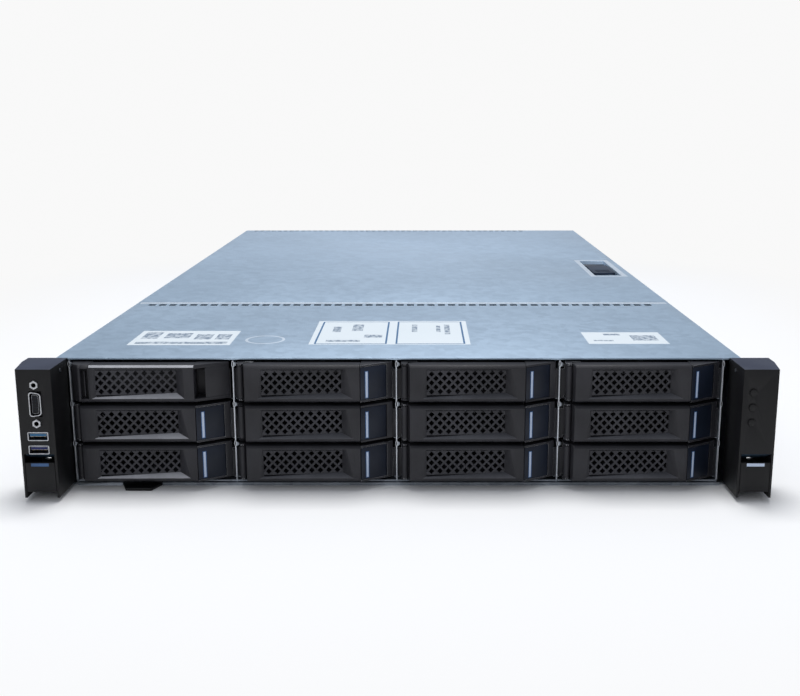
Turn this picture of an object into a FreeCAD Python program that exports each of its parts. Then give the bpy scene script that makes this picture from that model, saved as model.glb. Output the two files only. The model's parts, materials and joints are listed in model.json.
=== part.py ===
import FreeCAD, Part
import math
import os
import re
import Sketcher

# A 2U rack server with twelve 3.5-inch drive bays, in millimetres.
#
# Everything is drawn from the front edge of the chassis (Y = 0 there, Y grows to
# the rear) and then set forward by half the chassis depth. So the part's origin is
# the centre of the chassis underside, with +X right, +Y to the rear and +Z up.

COLUMNS = 4
ROWS = 3
BLANK_BAY = (0, 0)
FANS = 4
BLADES = 5
HEAT_SINKS = 2
FINS = 11
DIMMS = 6
MESH_COLUMNS = 4
VENTS = 30
REAR_VENTS = 6
SLOTS = 3
FAN_SLOTS = 6
JACK_SIDES = 6
BORE_SIDES = 8
BUTTON_SIDES = 16
FAN_SIDES = 12

SIZES = {
    # chassis and covers
    "body_width": 447.0,
    "body_depth": 780.0,
    "body_height": 87.0,
    "chassis_sheet": 1.2,
    "cover_sheet": 0.8,
    "cover_gap": 0.2,
    "cover_flange": 11.0,
    "cover_split": 210.0,
    "cover_seam": 0.4,
    "hem_drop": 0.4,
    "hem_thickness": 0.8,
    "lip_width": 428.0,
    "lip_height": 2.0,
    "lip_reach": 2.0,
    "vent_pitch": 14.4,
    "vent_length": 10.0,
    "vent_width": 2.2,
    "vent_setback": 9.0,
    "rear_vent_offset": 8.0,
    "rear_vent_width": 6.0,
    "rear_vent_margin": 4.0,
    "rear_vent_height": 24.0,
    "rear_vent_pitch": 12.0,
    "rear_vent_rise": 28.0,
    # cover latch and its dish
    "latch_centre": 199.5,
    "latch_width": 22.0,
    "dish_side_gap": 2.0,
    "dish_depth": 8.0,
    "dish_front": 364.0,
    "dish_length": 104.0,
    "latch_length": 66.0,
    "latch_thickness": 2.2,
    "latch_pin_radius": 1.4,
    "latch_pin_setback": 14.0,
    "latch_pin_lift": 0.9,
    "latch_neck": 8.0,
    "latch_step": 12.0,
    "latch_top_drop": 0.4,
    "latch_edge_drop": 2.0,
    "latch_step_drop": 2.4,
    "knuckle_flats": 5.4,
    "hinge_play": 0.05,
    # ears
    "ear_overall": 482.6,
    "ear_face_overall": 476.0,
    "ear_inner_overall": 432.0,
    "ear_reach": 33.0,
    "ear_flare": 12.0,
    "ear_bottom": 2.8,
    "ear_wall": 1.4,
    "ear_flange": 3.0,
    "ear_leg": 24.0,
    "ear_heel": 11.0,
    "rack_hole_span": 465.1,
    "rack_hole_height": 21.3,
    "rack_hole_radius": 2.75,
    "ear_latch_bottom": 6.6,
    "ear_latch_top": 26.2,
    "ear_latch_thickness": 2.6,
    "ear_latch_room": 1.0,
    "finger_gap": 5.6,
    "ear_pin_radius": 1.0,
    "ear_knuckle_flats": 4.0,
    # front connectors and buttons on the ears
    "connector_centre": 226.7,
    "vga_height": 64.7,
    "jack_span": 25.0,
    "jack_radius": 2.9,
    "jack_reach": 1.2,
    "shell_length": 16.6,
    "shell_width": 7.6,
    "shell_wall": 0.5,
    "shell_depth": 6.0,
    "shell_taper": 1.4,
    "usb_upper_height": 43.6,
    "usb_lower_height": 34.8,
    "usb_width": 13.1,
    "usb_thickness": 5.8,
    "usb_depth": 14.0,
    "usb_tongue": 1.8,
    "tongue_inset": 1.0,
    "socket_floor": 2.0,
    "button_radius": 2.3,
    "button_length": 9.0,
    "button_reach": 0.8,
    "button_room": 2.0,
    "button_centre": 222.6,
    "power_button_height": 72.2,
    "identify_button_height": 62.6,
    "reset_button_height": 52.8,
    # drive bays
    "bay_pitch": 106.7,
    "row_pitch": 27.0,
    "first_row_top": 84.7,
    "bezel_height": 24.5,
    "slot_drop": 25.9,
    "divider_sheet": 1.0,
    "divider_offset": 1.4,
    "cage_depth": 186.0,
    "guide_width": 1.5,
    "guide_sheet": 0.5,
    "guide_front": 2.0,
    "loop_width": 1.8,
    "loop_height": 3.4,
    "loop_reach": 1.6,
    "loop_root": 0.6,
    "loop_slope": 1.0,
    # drive tray
    "slide_gap": 0.3,
    "guide_gap": 0.1,
    "rail_height": 20.0,
    "rail_length": 177.0,
    "drive_width": 101.6,
    "drive_length": 147.0,
    "drive_height": 26.1,
    "drive_setback": 28.0,
    "crossbar_front": 1.4,
    "crossbar_sheet": 1.6,
    "crossbar_rim": 3.0,
    "flange_sheet": 1.2,
    "face_front": 13.0,
    "face_left": 7.6,
    "face_right": 82.0,
    "corner_right": 102.6,
    "corner_front": 0.6,
    "corner_web": 6.0,
    "part_gap": 0.4,
    "button_right": 98.6,
    "button_thickness": 2.0,
    "button_side_gap": 0.2,
    "button_stem": 5.0,
    "stem_inset": 2.0,
    "stem_clearance": 1.8,
    # lever
    "lever_back": 2.4,
    "hinge_across": 4.2,
    "hinge_front": 6.4,
    "hinge_pin_radius": 1.1,
    "lever_knuckle_flats": 4.4,
    "hinge_ear_flats": 3.6,
    "lever_root": 1.6,
    "window_rim": 6.0,
    "hinge_web": 8.0,
    "bezel_bevel": 1.5,
    "window_left": 18.2,
    "window_right": 69.5,
    "window_drop": 4.4,
    "window_height": 14.6,
    "mouth_right": 77.0,
    "mouth_drop": 1.9,
    "mouth_height": 20.2,
    "window_depth_left": 1.2,
    "window_depth_right": 5.0,
    "mesh_sheet": 1.0,
    "mesh_pitch": 11.6,
    "mesh_rise": 8.4,
    "mesh_hole": 5.8,
    "slot_left": 10.0,
    "slot_right": 13.6,
    "slot_depth": 3.2,
    "grip_left": 75.6,
    "grip_right": 88.6,
    "grip_edge": 2.4,
    "blank_length": 60.0,
    # backplane and fans
    "board_sheet": 2.4,
    "socket_width": 42.0,
    "socket_height": 6.0,
    "socket_length": 8.6,
    "socket_across": 30.0,
    "socket_rise": 3.0,
    "backplane_margin": 2.0,
    "air_window_left": 10.0,
    "air_window_right": 96.0,
    "air_window_rise": 3.0,
    "air_window_height": 10.0,
    "fan_front": 232.0,
    "fan_size": 80.0,
    "fan_depth": 38.0,
    "fan_pitch": 106.6,
    "fan_bore_radius": 38.5,
    "fan_tip_radius": 35.5,
    "fan_hub_radius": 20.0,
    "fan_hub_depth": 24.0,
    "fan_shaft_radius": 2.0,
    "fan_stator_depth": 8.0,
    "fan_strut": 3.0,
    "fan_strut_depth": 4.0,
    "fan_strut_root": 1.0,
    "rotor_front": 5.0,
    "shaft_nose": 1.0,
    "blade_chord": 20.0,
    "blade_sheet": 0.8,
    "blade_root": 3.0,
    # motherboard, processors and memory
    "main_board_front": 290.0,
    "main_board_rise": 6.4,
    "main_board_sheet": 1.6,
    "main_board_left": -214.0,
    "main_board_right": 138.0,
    "standoff_size": 6.0,
    "standoff_inset": 14.0,
    "board_setback": 10.0,
    "sink_width": 78.0,
    "sink_length": 108.0,
    "sink_base": 5.0,
    "sink_height": 56.0,
    "sink_fin": 1.0,
    "sink_fin_pitch": 7.7,
    "sink_front": 330.0,
    "sink_first": -164.0,
    "sink_pitch": 177.0,
    "processor_rise": 6.0,
    "processor_inset": 12.0,
    "dimm_pitch": 7.5,
    "dimm_sheet": 1.4,
    "dimm_length": 133.35,
    "dimm_height": 31.0,
    "dimm_front": 318.0,
    "dimm_bed": 2.4,
    "bank_gap": 4.0,
    # rear ports, risers and power supplies
    "port_depth": 14.0,
    "port_wall": 1.2,
    "port_floor": 3.0,
    "jack_width": 15.9,
    "riser_left": -206.0,
    "riser_width": 112.0,
    "riser_pitch": 196.0,
    "riser_depth": 150.0,
    "riser_bottom": 24.0,
    "riser_rim": 2.0,
    "riser_height": 59.0,
    "riser_sheet": 1.0,
    "slot_pitch": 20.3,
    "slot_cover_height": 18.4,
    "slot_cover_sheet": 0.9,
    "slot_cover_margin": 1.5,
    "slot_gap": 1.0,
    "psu_left": 145.5,
    "psu_width": 73.5,
    "psu_height": 40.0,
    "psu_depth": 185.0,
    "psu_gap": 0.3,
    "psu_flange": 1.5,
    "fan_slot_across": 38.0,
    "fan_slot_width": 30.0,
    "fan_slot_rise": 5.0,
    "fan_slot_height": 3.0,
    "fan_slot_pitch": 5.4,
    "fan_slot_depth": 10.0,
    "inlet_width": 27.0,
    "inlet_across": 5.0,
    "inlet_rise": 10.0,
    "inlet_corner": 5.0,
    "inlet_pin_pitch": 7.0,
    "inlet_pin_width": 2.0,
    "inlet_pin_height": 4.0,
    "inlet_pin_setback": 5.0,
    "inlet_height": 20.0,
    "inlet_depth": 15.0,
    "inlet_wall": 1.6,
    "inlet_floor": 2.0,
    "handle_reach": 26.0,
    "handle_bar": 3.0,
    "handle_corner": 4.0,
    "handle_width": 32.0,
    "handle_height": 8.0,
    # pull-out tag
    "tag_centre": -171.0,
    "tag_width": 26.0,
    "tag_tip_width": 17.0,
    "tag_reach": 13.0,
    "tag_length": 75.0,
    "tag_sheet": 0.6,
    "tag_rise": 0.2,
}

ALIAS = re.compile(r"[a-z][a-z_]*")

# Lines that several pieces share, as formulas of the sizes above.
WALL = "(body_width / 2 - cover_sheet - cover_gap)"
WALL_TOP = "(body_height - cover_sheet - cover_gap)"
LID = "(body_height - cover_sheet)"
SLOT_FLOOR = "(first_row_top - slot_drop)"
BEZEL_FLOOR = "(first_row_top - bezel_height)"
BAY_LEFT = "(divider_sheet / 2 - divider_offset)"
BAY_RIGHT = "(bay_pitch - divider_offset - divider_sheet / 2)"
EAR_FACE_OUT = "(ear_face_overall / 2)"
EAR_FACE_IN = "(ear_inner_overall / 2)"
CAGE_LEFT = f"(0 - {COLUMNS} / 2 * bay_pitch)"

doc = FreeCAD.newDocument("rack_server")
sheet = doc.addObject("Spreadsheet::Sheet", "Sizes")
subparts = []


# ---------------------------------------------------------------- spreadsheet

def fill_sheet():
    """Write each driving size into its own row, as text, with its alias."""
    for row, (alias, number) in enumerate(SIZES.items(), start=1):
        sheet.set(f"A{row}", alias.replace("_", " "))
        sheet.set(f"B{row}", str(number))
        sheet.setAlias(f"B{row}", alias)
    doc.recompute()


def formula(text):
    """Put the sheet's name in front of every size that a formula names."""
    def named(match):
        word = match.group(0)
        return f"Sizes.{word}" if word in SIZES else word
    return ALIAS.sub(named, text)


def value(text):
    """Work a formula out to a plain number."""
    return float(sheet.evalExpression(formula(text)))


def bind(item, **formulas):
    """Tie properties of an object to formulas of the sheet."""
    for name, text in formulas.items():
        item.setExpression(name.replace("__", "."), formula(text))


def place(item, x="0", y="0", z="0"):
    """Tie the place of an object to formulas of the sheet."""
    for axis, text in zip("xyz", (x, y, z)):
        item.setExpression(f"Placement.Base.{axis}", formula(text))
    return item


# ------------------------------------------------------------ sketched bodies

def rectangle(left, right, low, high):
    """The four corners of an upright rectangle."""
    return [(left, low), (right, low), (right, high), (left, high)]


def polygon(across, up, flats, sides=8):
    """The corners of a regular polygon, from its centre and its width over flats."""
    corners = []
    half_turn = math.pi / sides
    for step in range(sides):
        angle = half_turn * (2 * step + 1)
        reach = 0.5 / math.cos(half_turn)
        corners.append((f"{across} + ({flats}) * {reach * math.cos(angle):.9f}",
                        f"{up} + ({flats}) * {reach * math.sin(angle):.9f}"))
    return corners


def bore(across, up, pin_radius):
    """A many-sided bore whose flats run just clear of a round pin."""
    return polygon(across, up, f"2 * ({pin_radius} + hinge_play)", BORE_SIDES)


class Sketched:
    """A PartDesign body made of padded and pocketed outlines.

    An outline is drawn on the XY, XZ or YZ plane and reaches from `low` to `high`
    along the plane's own axis, whichever way the plane's normal points.
    """

    def __init__(self, name):
        self.body = doc.addObject("PartDesign::Body", name)
        self.count = 0

    def _sketch(self, plane, level):
        self.count += 1
        sketch = self.body.newObject("Sketcher::SketchObject", f"{self.body.Name}_outline_{self.count}")
        role = f"{plane}_Plane"
        support = [item for item in self.body.Origin.OriginFeatures if item.Role == role]
        sketch.AttachmentSupport = (support[0], [""])
        sketch.MapMode = "FlatFace"
        sign = "0 - " if plane == "XZ" else ""
        sketch.setExpression("AttachmentOffset.Base.z", formula(f"{sign}({level})"))
        return sketch

    def _bound(self, sketch, kind, geometry, vertex, text):
        index = sketch.addConstraint(Sketcher.Constraint(kind, -1, 1, geometry, vertex, value(text)))
        sketch.setExpression(f"Constraints[{index}]", formula(text))

    def outline(self, plane, level, points):
        sketch = self._sketch(plane, level)
        corners = [FreeCAD.Vector(value(across), value(up), 0) for across, up in points]
        count = len(points)
        for index in range(count):
            sketch.addGeometry(Part.LineSegment(corners[index], corners[(index + 1) % count]), False)
        for index in range(count):
            sketch.addConstraint(Sketcher.Constraint("Coincident", index, 2, (index + 1) % count, 1))
        for index, (across, up) in enumerate(points):
            self._bound(sketch, "DistanceX", index, 1, across)
            self._bound(sketch, "DistanceY", index, 1, up)
        return sketch

    def circle(self, plane, level, across, up, radius):
        sketch = self._sketch(plane, level)
        centre = FreeCAD.Vector(value(across), value(up), 0)
        sketch.addGeometry(Part.Circle(centre, FreeCAD.Vector(0, 0, 1), value(radius)), False)
        self._bound(sketch, "DistanceX", 0, 3, across)
        self._bound(sketch, "DistanceY", 0, 3, up)
        index = sketch.addConstraint(Sketcher.Constraint("Radius", 0, value(radius)))
        sketch.setExpression(f"Constraints[{index}]", formula(radius))
        return sketch

    def _feature(self, kind, sketch, low, high):
        feature = self.body.newObject(f"PartDesign::{kind}", f"{self.body.Name}_{kind.lower()}_{self.count}")
        feature.Profile = sketch
        bind(feature, Length=f"({high}) - ({low})")
        return feature

    def _draw(self, plane, level, shape):
        if isinstance(shape, list):
            return self.outline(plane, level, shape)
        return self.circle(plane, level, *shape)

    def pad(self, plane, shape, low, high):
        """Add an outline (a list of corners) or a disc (across, up, radius)."""
        level = high if plane == "XZ" else low
        return self._feature("Pad", self._draw(plane, level, shape), low, high)

    def cut(self, plane, shape, low, high):
        """Take away an outline or a disc."""
        level = low if plane == "XZ" else high
        return self._feature("Pocket", self._draw(plane, level, shape), low, high)

    def repeat(self, feature, count, pitch, count_up=1, pitch_up="1", upward=False):
        """Repeat a feature along its sketch's first axis (or its second), and up the second.

        A second direction counts only once the first has been worked out.
        """
        doc.recompute()
        pattern = self.body.newObject("PartDesign::LinearPattern", f"{feature.Name}_pattern")
        pattern.Originals = [feature]
        pattern.Direction = (feature.Profile[0], ["V_Axis" if upward else "H_Axis"])
        pattern.Mode = "Spacing"
        bind(pattern, Offset=pitch)
        pattern.Occurrences = count
        self.body.Tip = pattern
        if count_up > 1:
            doc.recompute()
            pattern.Direction2 = (feature.Profile[0], ["V_Axis"])
            pattern.Mode2 = "Spacing"
            bind(pattern, Offset2=pitch_up)
            pattern.Occurrences2 = count_up
        return pattern

    def turn(self, feature, count):
        """Repeat a feature round the normal of its XZ sketch."""
        pattern = self.body.newObject("PartDesign::PolarPattern", f"{feature.Name}_pattern")
        pattern.Originals = [feature]
        axis = [item for item in self.body.Origin.OriginFeatures if item.Role == "Y_Axis"]
        pattern.Axis = (axis[0], [""])
        pattern.Occurrences = count
        self.body.Tip = pattern
        return pattern


# ------------------------------------------------------- primitives and groups

def box(name, x, y, z):
    """A Part::Box between two corners, each side given as (low, high)."""
    item = doc.addObject("Part::Box", name)
    sides = dict(zip(("Length", "Width", "Height"), (x, y, z)))
    bind(item, **{side: f"({high}) - ({low})" for side, (low, high) in sides.items()})
    return place(item, x[0], y[0], z[0])


TURNS = {
    "X": FreeCAD.Rotation(FreeCAD.Vector(0, 1, 0), 90),
    "Y": FreeCAD.Rotation(FreeCAD.Vector(1, 0, 0), -90),
    "Z": FreeCAD.Rotation(),
}


def rod(name, axis, radius, length, x, y, z):
    """A Part::Cylinder that starts at x, y, z and runs along +X, +Y or +Z."""
    item = doc.addObject("Part::Cylinder", name)
    bind(item, Radius=radius, Height=length)
    item.Placement = FreeCAD.Placement(FreeCAD.Vector(), TURNS[axis])
    return place(item, x, y, z)


def group(name, items):
    """Several solids in one sub-part, or one solid placed again."""
    item = doc.addObject("Part::Compound", name)
    item.Links = items
    return item


def finish(item, node, x="0", y="0", z="0"):
    """Give a sub-part its name and set it forward by half the chassis depth."""
    place(item, x, f"{y} - body_depth / 2", z)
    item.Label = node
    subparts.append(item)
    return item


# -------------------------------------------------------------------- chassis

def make_chassis():
    """The folded base pan: floor, sides and rear wall, with the power supply bay."""
    pan = Sketched("pan")
    inner = f"{WALL} - chassis_sheet"
    pan.pad("XZ", [(f"0 - {WALL}", "0"), (WALL, "0"), (WALL, WALL_TOP), (inner, WALL_TOP),
                   (inner, "chassis_sheet"), (f"0 - ({inner})", "chassis_sheet"),
                   (f"0 - ({inner})", WALL_TOP), (f"0 - {WALL}", WALL_TOP)], "0", "body_depth")
    rear = ("body_depth - chassis_sheet", "body_depth")
    pan.pad("XZ", rectangle(f"0 - ({inner})", inner, "chassis_sheet", WALL_TOP), *rear)
    add_front_lip(pan)
    add_power_bay(pan, inner)
    add_board_seats(pan)
    cut_rear_wall(pan, rear)
    finish(pan.body, "chassis_base")


def add_board_seats(pan):
    """Seats pressed up out of the floor, which carry the main board clear of it."""
    left = "(main_board_left + standoff_inset)"
    front = "(main_board_front + standoff_inset)"
    seat = pan.pad("XY", rectangle(left, f"{left} + standoff_size", front, f"{front} + standoff_size"),
                   "chassis_sheet", "main_board_rise")
    spare = "(standoff_size + 2 * standoff_inset)"
    pan.repeat(seat, 3, f"(main_board_right - main_board_left - {spare}) / 2",
               3, f"(body_depth - board_setback - main_board_front - {spare}) / 2")


def add_front_lip(pan):
    """A rolled lip along the floor's front edge, open where the tag slides out."""
    pan.pad("XZ", rectangle("0 - lip_width / 2", "lip_width / 2", "0", "lip_height"),
            "0 - lip_reach", "0")
    pan.cut("XZ", rectangle("tag_centre - tag_width / 2 - slide_gap", "tag_centre + tag_width / 2 + slide_gap",
                            "0", "lip_height"), "0 - lip_reach", "0")


PSU_SHELF = "(chassis_sheet + psu_gap + psu_height + psu_gap)"
PSU_FRONT = "(body_depth - psu_depth)"


def add_power_bay(pan, inner):
    """A wall and a shelf that guide the two power supplies."""
    wall = "(psu_left - psu_gap)"
    reach = (f"{PSU_FRONT} - psu_gap", "body_depth - chassis_sheet")
    pan.pad("XY", rectangle(f"{wall} - chassis_sheet", wall, *reach), "chassis_sheet", WALL_TOP)
    pan.pad("XY", rectangle(wall, inner, *reach), PSU_SHELF, f"{PSU_SHELF} + cover_sheet")


def cut_rear_wall(pan, rear):
    """Openings for the power supplies, the risers' slots, the ports and the air."""
    left = "psu_left - psu_gap"
    right = "psu_left + psu_width + psu_gap"
    pan.cut("XZ", rectangle(left, right, "chassis_sheet", PSU_SHELF), *rear)
    upper = f"{PSU_SHELF} + cover_sheet"
    pan.cut("XZ", rectangle(left, right, upper, f"{upper} + psu_height + 2 * psu_gap"), *rear)
    slot = pan.cut("XZ", rectangle("riser_left + riser_rim", "riser_left + riser_width - riser_rim",
                                   "riser_bottom + slot_gap", f"riser_bottom + {SLOTS} * slot_pitch - slot_gap"), *rear)
    pan.repeat(slot, 2, "riser_pitch")
    between = "(riser_left + riser_width + rear_vent_offset)"
    low = "(riser_bottom + rear_vent_margin)"
    vent = pan.cut("XZ", rectangle(between, f"{between} + rear_vent_width",
                                   low, f"{low} + rear_vent_height"), *rear)
    pan.repeat(vent, REAR_VENTS, "rear_vent_pitch", 2, "rear_vent_rise")
    for left, right, low, high in rear_port_windows():
        pan.cut("XZ", rectangle(left, right, low, high), *rear)


# The rear ports: name, centre across, width and height.
REAR_PORTS = [
    ("serial", "-188", "16", "11"),
    ("video", "-150", "31", "12.5"),
    ("usb", "-112", "13.1", "11.6"),
    ("network_left", "-80", "jack_width", "13"),
    ("network_right", "-54", "jack_width", "13"),
    ("management", "0", "jack_width", "13"),
]
PORT_FLOOR = "(main_board_rise + main_board_sheet)"


def rear_port_windows():
    """One window for each port, a little larger than the port."""
    for _, centre, width, height in REAR_PORTS:
        yield (f"{centre} - {width} / 2 - slide_gap", f"{centre} + {width} / 2 + slide_gap",
               f"{PORT_FLOOR} - slide_gap", f"{PORT_FLOOR} + {height} + slide_gap")


# --------------------------------------------------------------------- covers

def cover_profile():
    """A shallow channel, open downwards, whose sides overlap the chassis walls."""
    outer = "body_width / 2"
    inner = "(body_width / 2 - cover_sheet)"
    foot = "body_height - cover_flange"
    return [(f"0 - {outer}", foot), (f"0 - {inner}", foot), (f"0 - {inner}", LID), (inner, LID),
            (inner, foot), (outer, foot), (outer, "body_height"), (f"0 - {outer}", "body_height")]


def make_front_cover():
    """The fixed cover over the drive cage, with a row of vents before its rear edge."""
    cover = Sketched("front_lid")
    cover.pad("XZ", cover_profile(), "0", "cover_split - cover_seam")
    half = f"({EAR_FACE_IN} - part_gap)"
    cover.pad("XZ", rectangle(f"0 - {half}", half, f"{LID} - hem_drop", "body_height"),
              "0 - hem_thickness", "0")
    count = VENTS
    start = f"(0 - {count - 1} / 2 * vent_pitch)"
    vent = cover.cut("XY", rectangle(f"{start} - vent_length / 2", f"{start} + vent_length / 2",
                                     "cover_split - vent_setback - vent_width", "cover_split - vent_setback"),
                     LID, "body_height")
    cover.repeat(vent, count, "vent_pitch")
    finish(cover.body, "front_cover")


DISH_LEFT = "(latch_centre - latch_width / 2 - dish_side_gap)"
DISH_RIGHT = "(latch_centre + latch_width / 2 + dish_side_gap)"
DISH_FLOOR = f"({LID} - dish_depth)"
LATCH_PIN_Y = "(dish_front + dish_length - latch_pin_setback)"
LATCH_PIN_Z = f"({DISH_FLOOR} + cover_sheet + knuckle_flats / 2 + latch_pin_lift)"


def make_top_cover():
    """The rear cover with the sunk dish that holds its latch, and the latch's pin."""
    cover = Sketched("rear_lid")
    cover.pad("XZ", cover_profile(), "cover_split", "body_depth")
    cover.pad("XY", rectangle(f"{DISH_LEFT} - cover_sheet", f"{DISH_RIGHT} + cover_sheet",
                              "dish_front - cover_sheet", "dish_front + dish_length + cover_sheet"),
              DISH_FLOOR, LID)
    cover.cut("XY", rectangle(DISH_LEFT, DISH_RIGHT, "dish_front", "dish_front + dish_length"),
              f"{DISH_FLOOR} + cover_sheet", "body_height")
    pin = rod("latch_pin", "X", "latch_pin_radius", f"{DISH_RIGHT} - {DISH_LEFT}",
              DISH_LEFT, LATCH_PIN_Y, LATCH_PIN_Z)
    finish(group("rear_lid_set", [cover.body, pin]), "top_cover")


def make_cover_latch():
    """A flat lever that lies in the dish and turns up on its pin."""
    left = "(latch_centre - latch_width / 2)"
    right = "(latch_centre + latch_width / 2)"
    knuckle = Sketched("latch_knuckle")
    knuckle.pad("YZ", polygon(LATCH_PIN_Y, LATCH_PIN_Z, "knuckle_flats"), left, right)
    knuckle.cut("YZ", bore(LATCH_PIN_Y, LATCH_PIN_Z, "latch_pin_radius"), left, right)
    root = f"({LATCH_PIN_Y} - knuckle_flats / 2)"
    low = f"({LATCH_PIN_Z} - latch_thickness / 2)"
    high = f"({LATCH_PIN_Z} + latch_thickness / 2)"
    top = "body_height - latch_top_drop"
    arm = Sketched("latch_arm")
    arm.pad("YZ", [(root, low), (root, high), (f"{root} - latch_neck", high), (f"{root} - latch_step", top),
                   (f"{root} - latch_length", top), (f"{root} - latch_length", f"{LID} - latch_edge_drop"),
                   (f"{root} - latch_step", f"{LID} - latch_step_drop"), (f"{root} - latch_neck", low)], left, right)
    finish(group("cover_latch_set", [knuckle.body, arm.body]), "cover_latch")


# ----------------------------------------------------------------------- ears

EAR_LATCH_PIN_Z = "(ear_latch_bottom + ear_knuckle_flats / 2)"
EAR_LATCH_PIN_Y = "(0 - ear_reach + ear_latch_thickness + ear_knuckle_flats / 2)"


def across(side, text):
    """Put a distance from the middle plane on the left (-1) or the right (1)."""
    return f"({text})" if side > 0 else f"(0 - ({text}))"


def span(side, near, far):
    """Two distances from the middle plane as (low, high) on one side."""
    pair = (across(side, near), across(side, far))
    return pair if side > 0 else pair[::-1]


def make_ear(side, node):
    """A handle ear: a deep hollow block with a flange that meets the rack's post."""
    ear = Sketched(f"{node}_block")
    ear.pad("XY", [(across(side, EAR_FACE_IN), "0 - ear_reach"), (across(side, EAR_FACE_OUT), "0 - ear_reach"),
                   (across(side, "ear_overall / 2"), "0 - ear_flare"), (across(side, "ear_overall / 2"), "0"),
                   (across(side, "body_width / 2"), "0"), (across(side, "body_width / 2"), "0 - slide_gap"),
                   (across(side, EAR_FACE_IN), "0 - slide_gap")], "ear_bottom", "body_height")
    leg = span(side, WALL, "body_width / 2")
    ear.pad("XY", rectangle(*leg, "0 - slide_gap", "ear_leg"), "ear_bottom",
            "body_height - cover_flange - cover_gap")
    low, high = span(side, f"{EAR_FACE_IN} + ear_wall", f"{EAR_FACE_OUT} - ear_wall")
    top = "ear_latch_top + finger_gap"
    ear.cut("XZ", rectangle(low, high, "ear_latch_bottom - ear_latch_room", top), "0 - ear_reach", "0 - ear_flange")
    ear.cut("XZ", rectangle(low, high, "ear_bottom", top), "0 - ear_reach", "0 - ear_reach + ear_heel")
    centre = across(side, "rack_hole_span / 2")
    ear.cut("XZ", (centre, "rack_hole_height", "rack_hole_radius"), "0 - ear_reach", "0")
    return ear, low, high


def ear_latch_pin(node, low, high):
    """The pin that the ear's latch turns on, held between the recess's walls."""
    return rod(f"{node}_pin", "X", "ear_pin_radius", f"{high} - {low}", low, EAR_LATCH_PIN_Y, EAR_LATCH_PIN_Z)


def make_left_ear():
    """The left ear also carries the video and USB connectors."""
    ear, low, high = make_ear(-1, "left_ear")
    depth = ("0 - ear_reach", "0 - ear_reach + usb_depth")
    for centre, width, height in front_connector_windows():
        ear.cut("XZ", rectangle(f"0 - connector_centre - ({width}) / 2", f"0 - connector_centre + ({width}) / 2",
                                f"{centre} - ({height}) / 2", f"{centre} + ({height}) / 2"), *depth)
    finish(group("left_ear_set", [ear.body, ear_latch_pin("left_ear", low, high)]), "left_ear")


def front_connector_windows():
    """Centre height, width and height of each connector's window."""
    yield "vga_height", "shell_width", "shell_length"
    yield "usb_upper_height", "usb_width", "usb_thickness"
    yield "usb_lower_height", "usb_width", "usb_thickness"


def make_right_ear():
    """The right ear holds the three push buttons."""
    ear, low, high = make_ear(1, "right_ear")
    for height in BUTTON_HEIGHTS.values():
        ear.cut("XZ", polygon("button_centre", height, "2 * (button_radius + hinge_play)", BUTTON_SIDES),
                "0 - ear_reach", "0 - ear_reach + button_length + button_room")
    finish(group("right_ear_set", [ear.body, ear_latch_pin("right_ear", low, high)]), "right_ear")


BUTTON_HEIGHTS = {
    "power_button": "power_button_height",
    "identify_button": "identify_button_height",
    "reset_button": "reset_button_height",
}


def make_ear_buttons():
    """Three round push buttons, each in its own bore."""
    for node, height in BUTTON_HEIGHTS.items():
        button = Sketched(f"{node}_cap")
        front = "0 - ear_reach - button_reach"
        button.pad("XZ", polygon("button_centre", height, "2 * button_radius", BUTTON_SIDES),
                   front, f"{front} + button_length")
        finish(group(f"{node}_set", [button.body]), node)


def make_ear_latch(side, node):
    """A spring latch at the foot of an ear, which tips forward on its pin."""
    low, high = span(side, f"{EAR_FACE_IN} + ear_wall + slide_gap", f"{EAR_FACE_OUT} - ear_wall - slide_gap")
    plate = Sketched(f"{node}_plate")
    plate.pad("XZ", rectangle(low, high, "ear_latch_bottom", "ear_latch_top"),
              "0 - ear_reach", "0 - ear_reach + ear_latch_thickness")
    knuckle = Sketched(f"{node}_knuckle")
    knuckle.pad("YZ", polygon(EAR_LATCH_PIN_Y, EAR_LATCH_PIN_Z, "ear_knuckle_flats"), low, high)
    knuckle.cut("YZ", bore(EAR_LATCH_PIN_Y, EAR_LATCH_PIN_Z, "ear_pin_radius"), low, high)
    finish(group(f"{node}_set", [plate.body, knuckle.body]), node)


def make_front_ports():
    """The video connector with its jack screws, and two USB sockets."""
    items = [video_shell()]
    for end, name in ((-1, "lower"), (1, "upper")):
        jack = Sketched(f"jack_{name}")
        jack.pad("XZ", polygon("0 - connector_centre", f"vga_height + {end} * jack_span / 2", "2 * jack_radius", JACK_SIDES),
                 "0 - ear_reach - jack_reach", "0 - ear_reach")
        items.append(jack.body)
    for name in ("upper", "lower"):
        items.append(usb_socket(name))
    finish(group("front_ports_set", items), "front_ports")


def video_shell():
    """A D-shaped shell, standing on end, round a solid insulator."""
    shell = Sketched("video_shell")
    front = "(0 - ear_reach - jack_reach)"
    reach = (front, "0 - ear_reach + shell_depth")
    shell.pad("XZ", d_outline("0"), *reach)
    shell.cut("XZ", d_outline("shell_wall"), front, "0 - ear_reach + shell_depth - socket_floor")
    return shell.body


def d_outline(inset):
    """The D of a video connector, standing on end, drawn in by `inset`."""
    half_width = f"(shell_width / 2 - {inset})"
    half_length = f"(shell_length / 2 - {inset})"
    middle = "(0 - connector_centre)"
    return [(f"{middle} - {half_width}", f"vga_height - {half_length}"),
            (f"{middle} + {half_width}", f"vga_height - {half_length} + shell_taper"),
            (f"{middle} + {half_width}", f"vga_height + {half_length} - shell_taper"),
            (f"{middle} - {half_width}", f"vga_height + {half_length}")]


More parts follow.
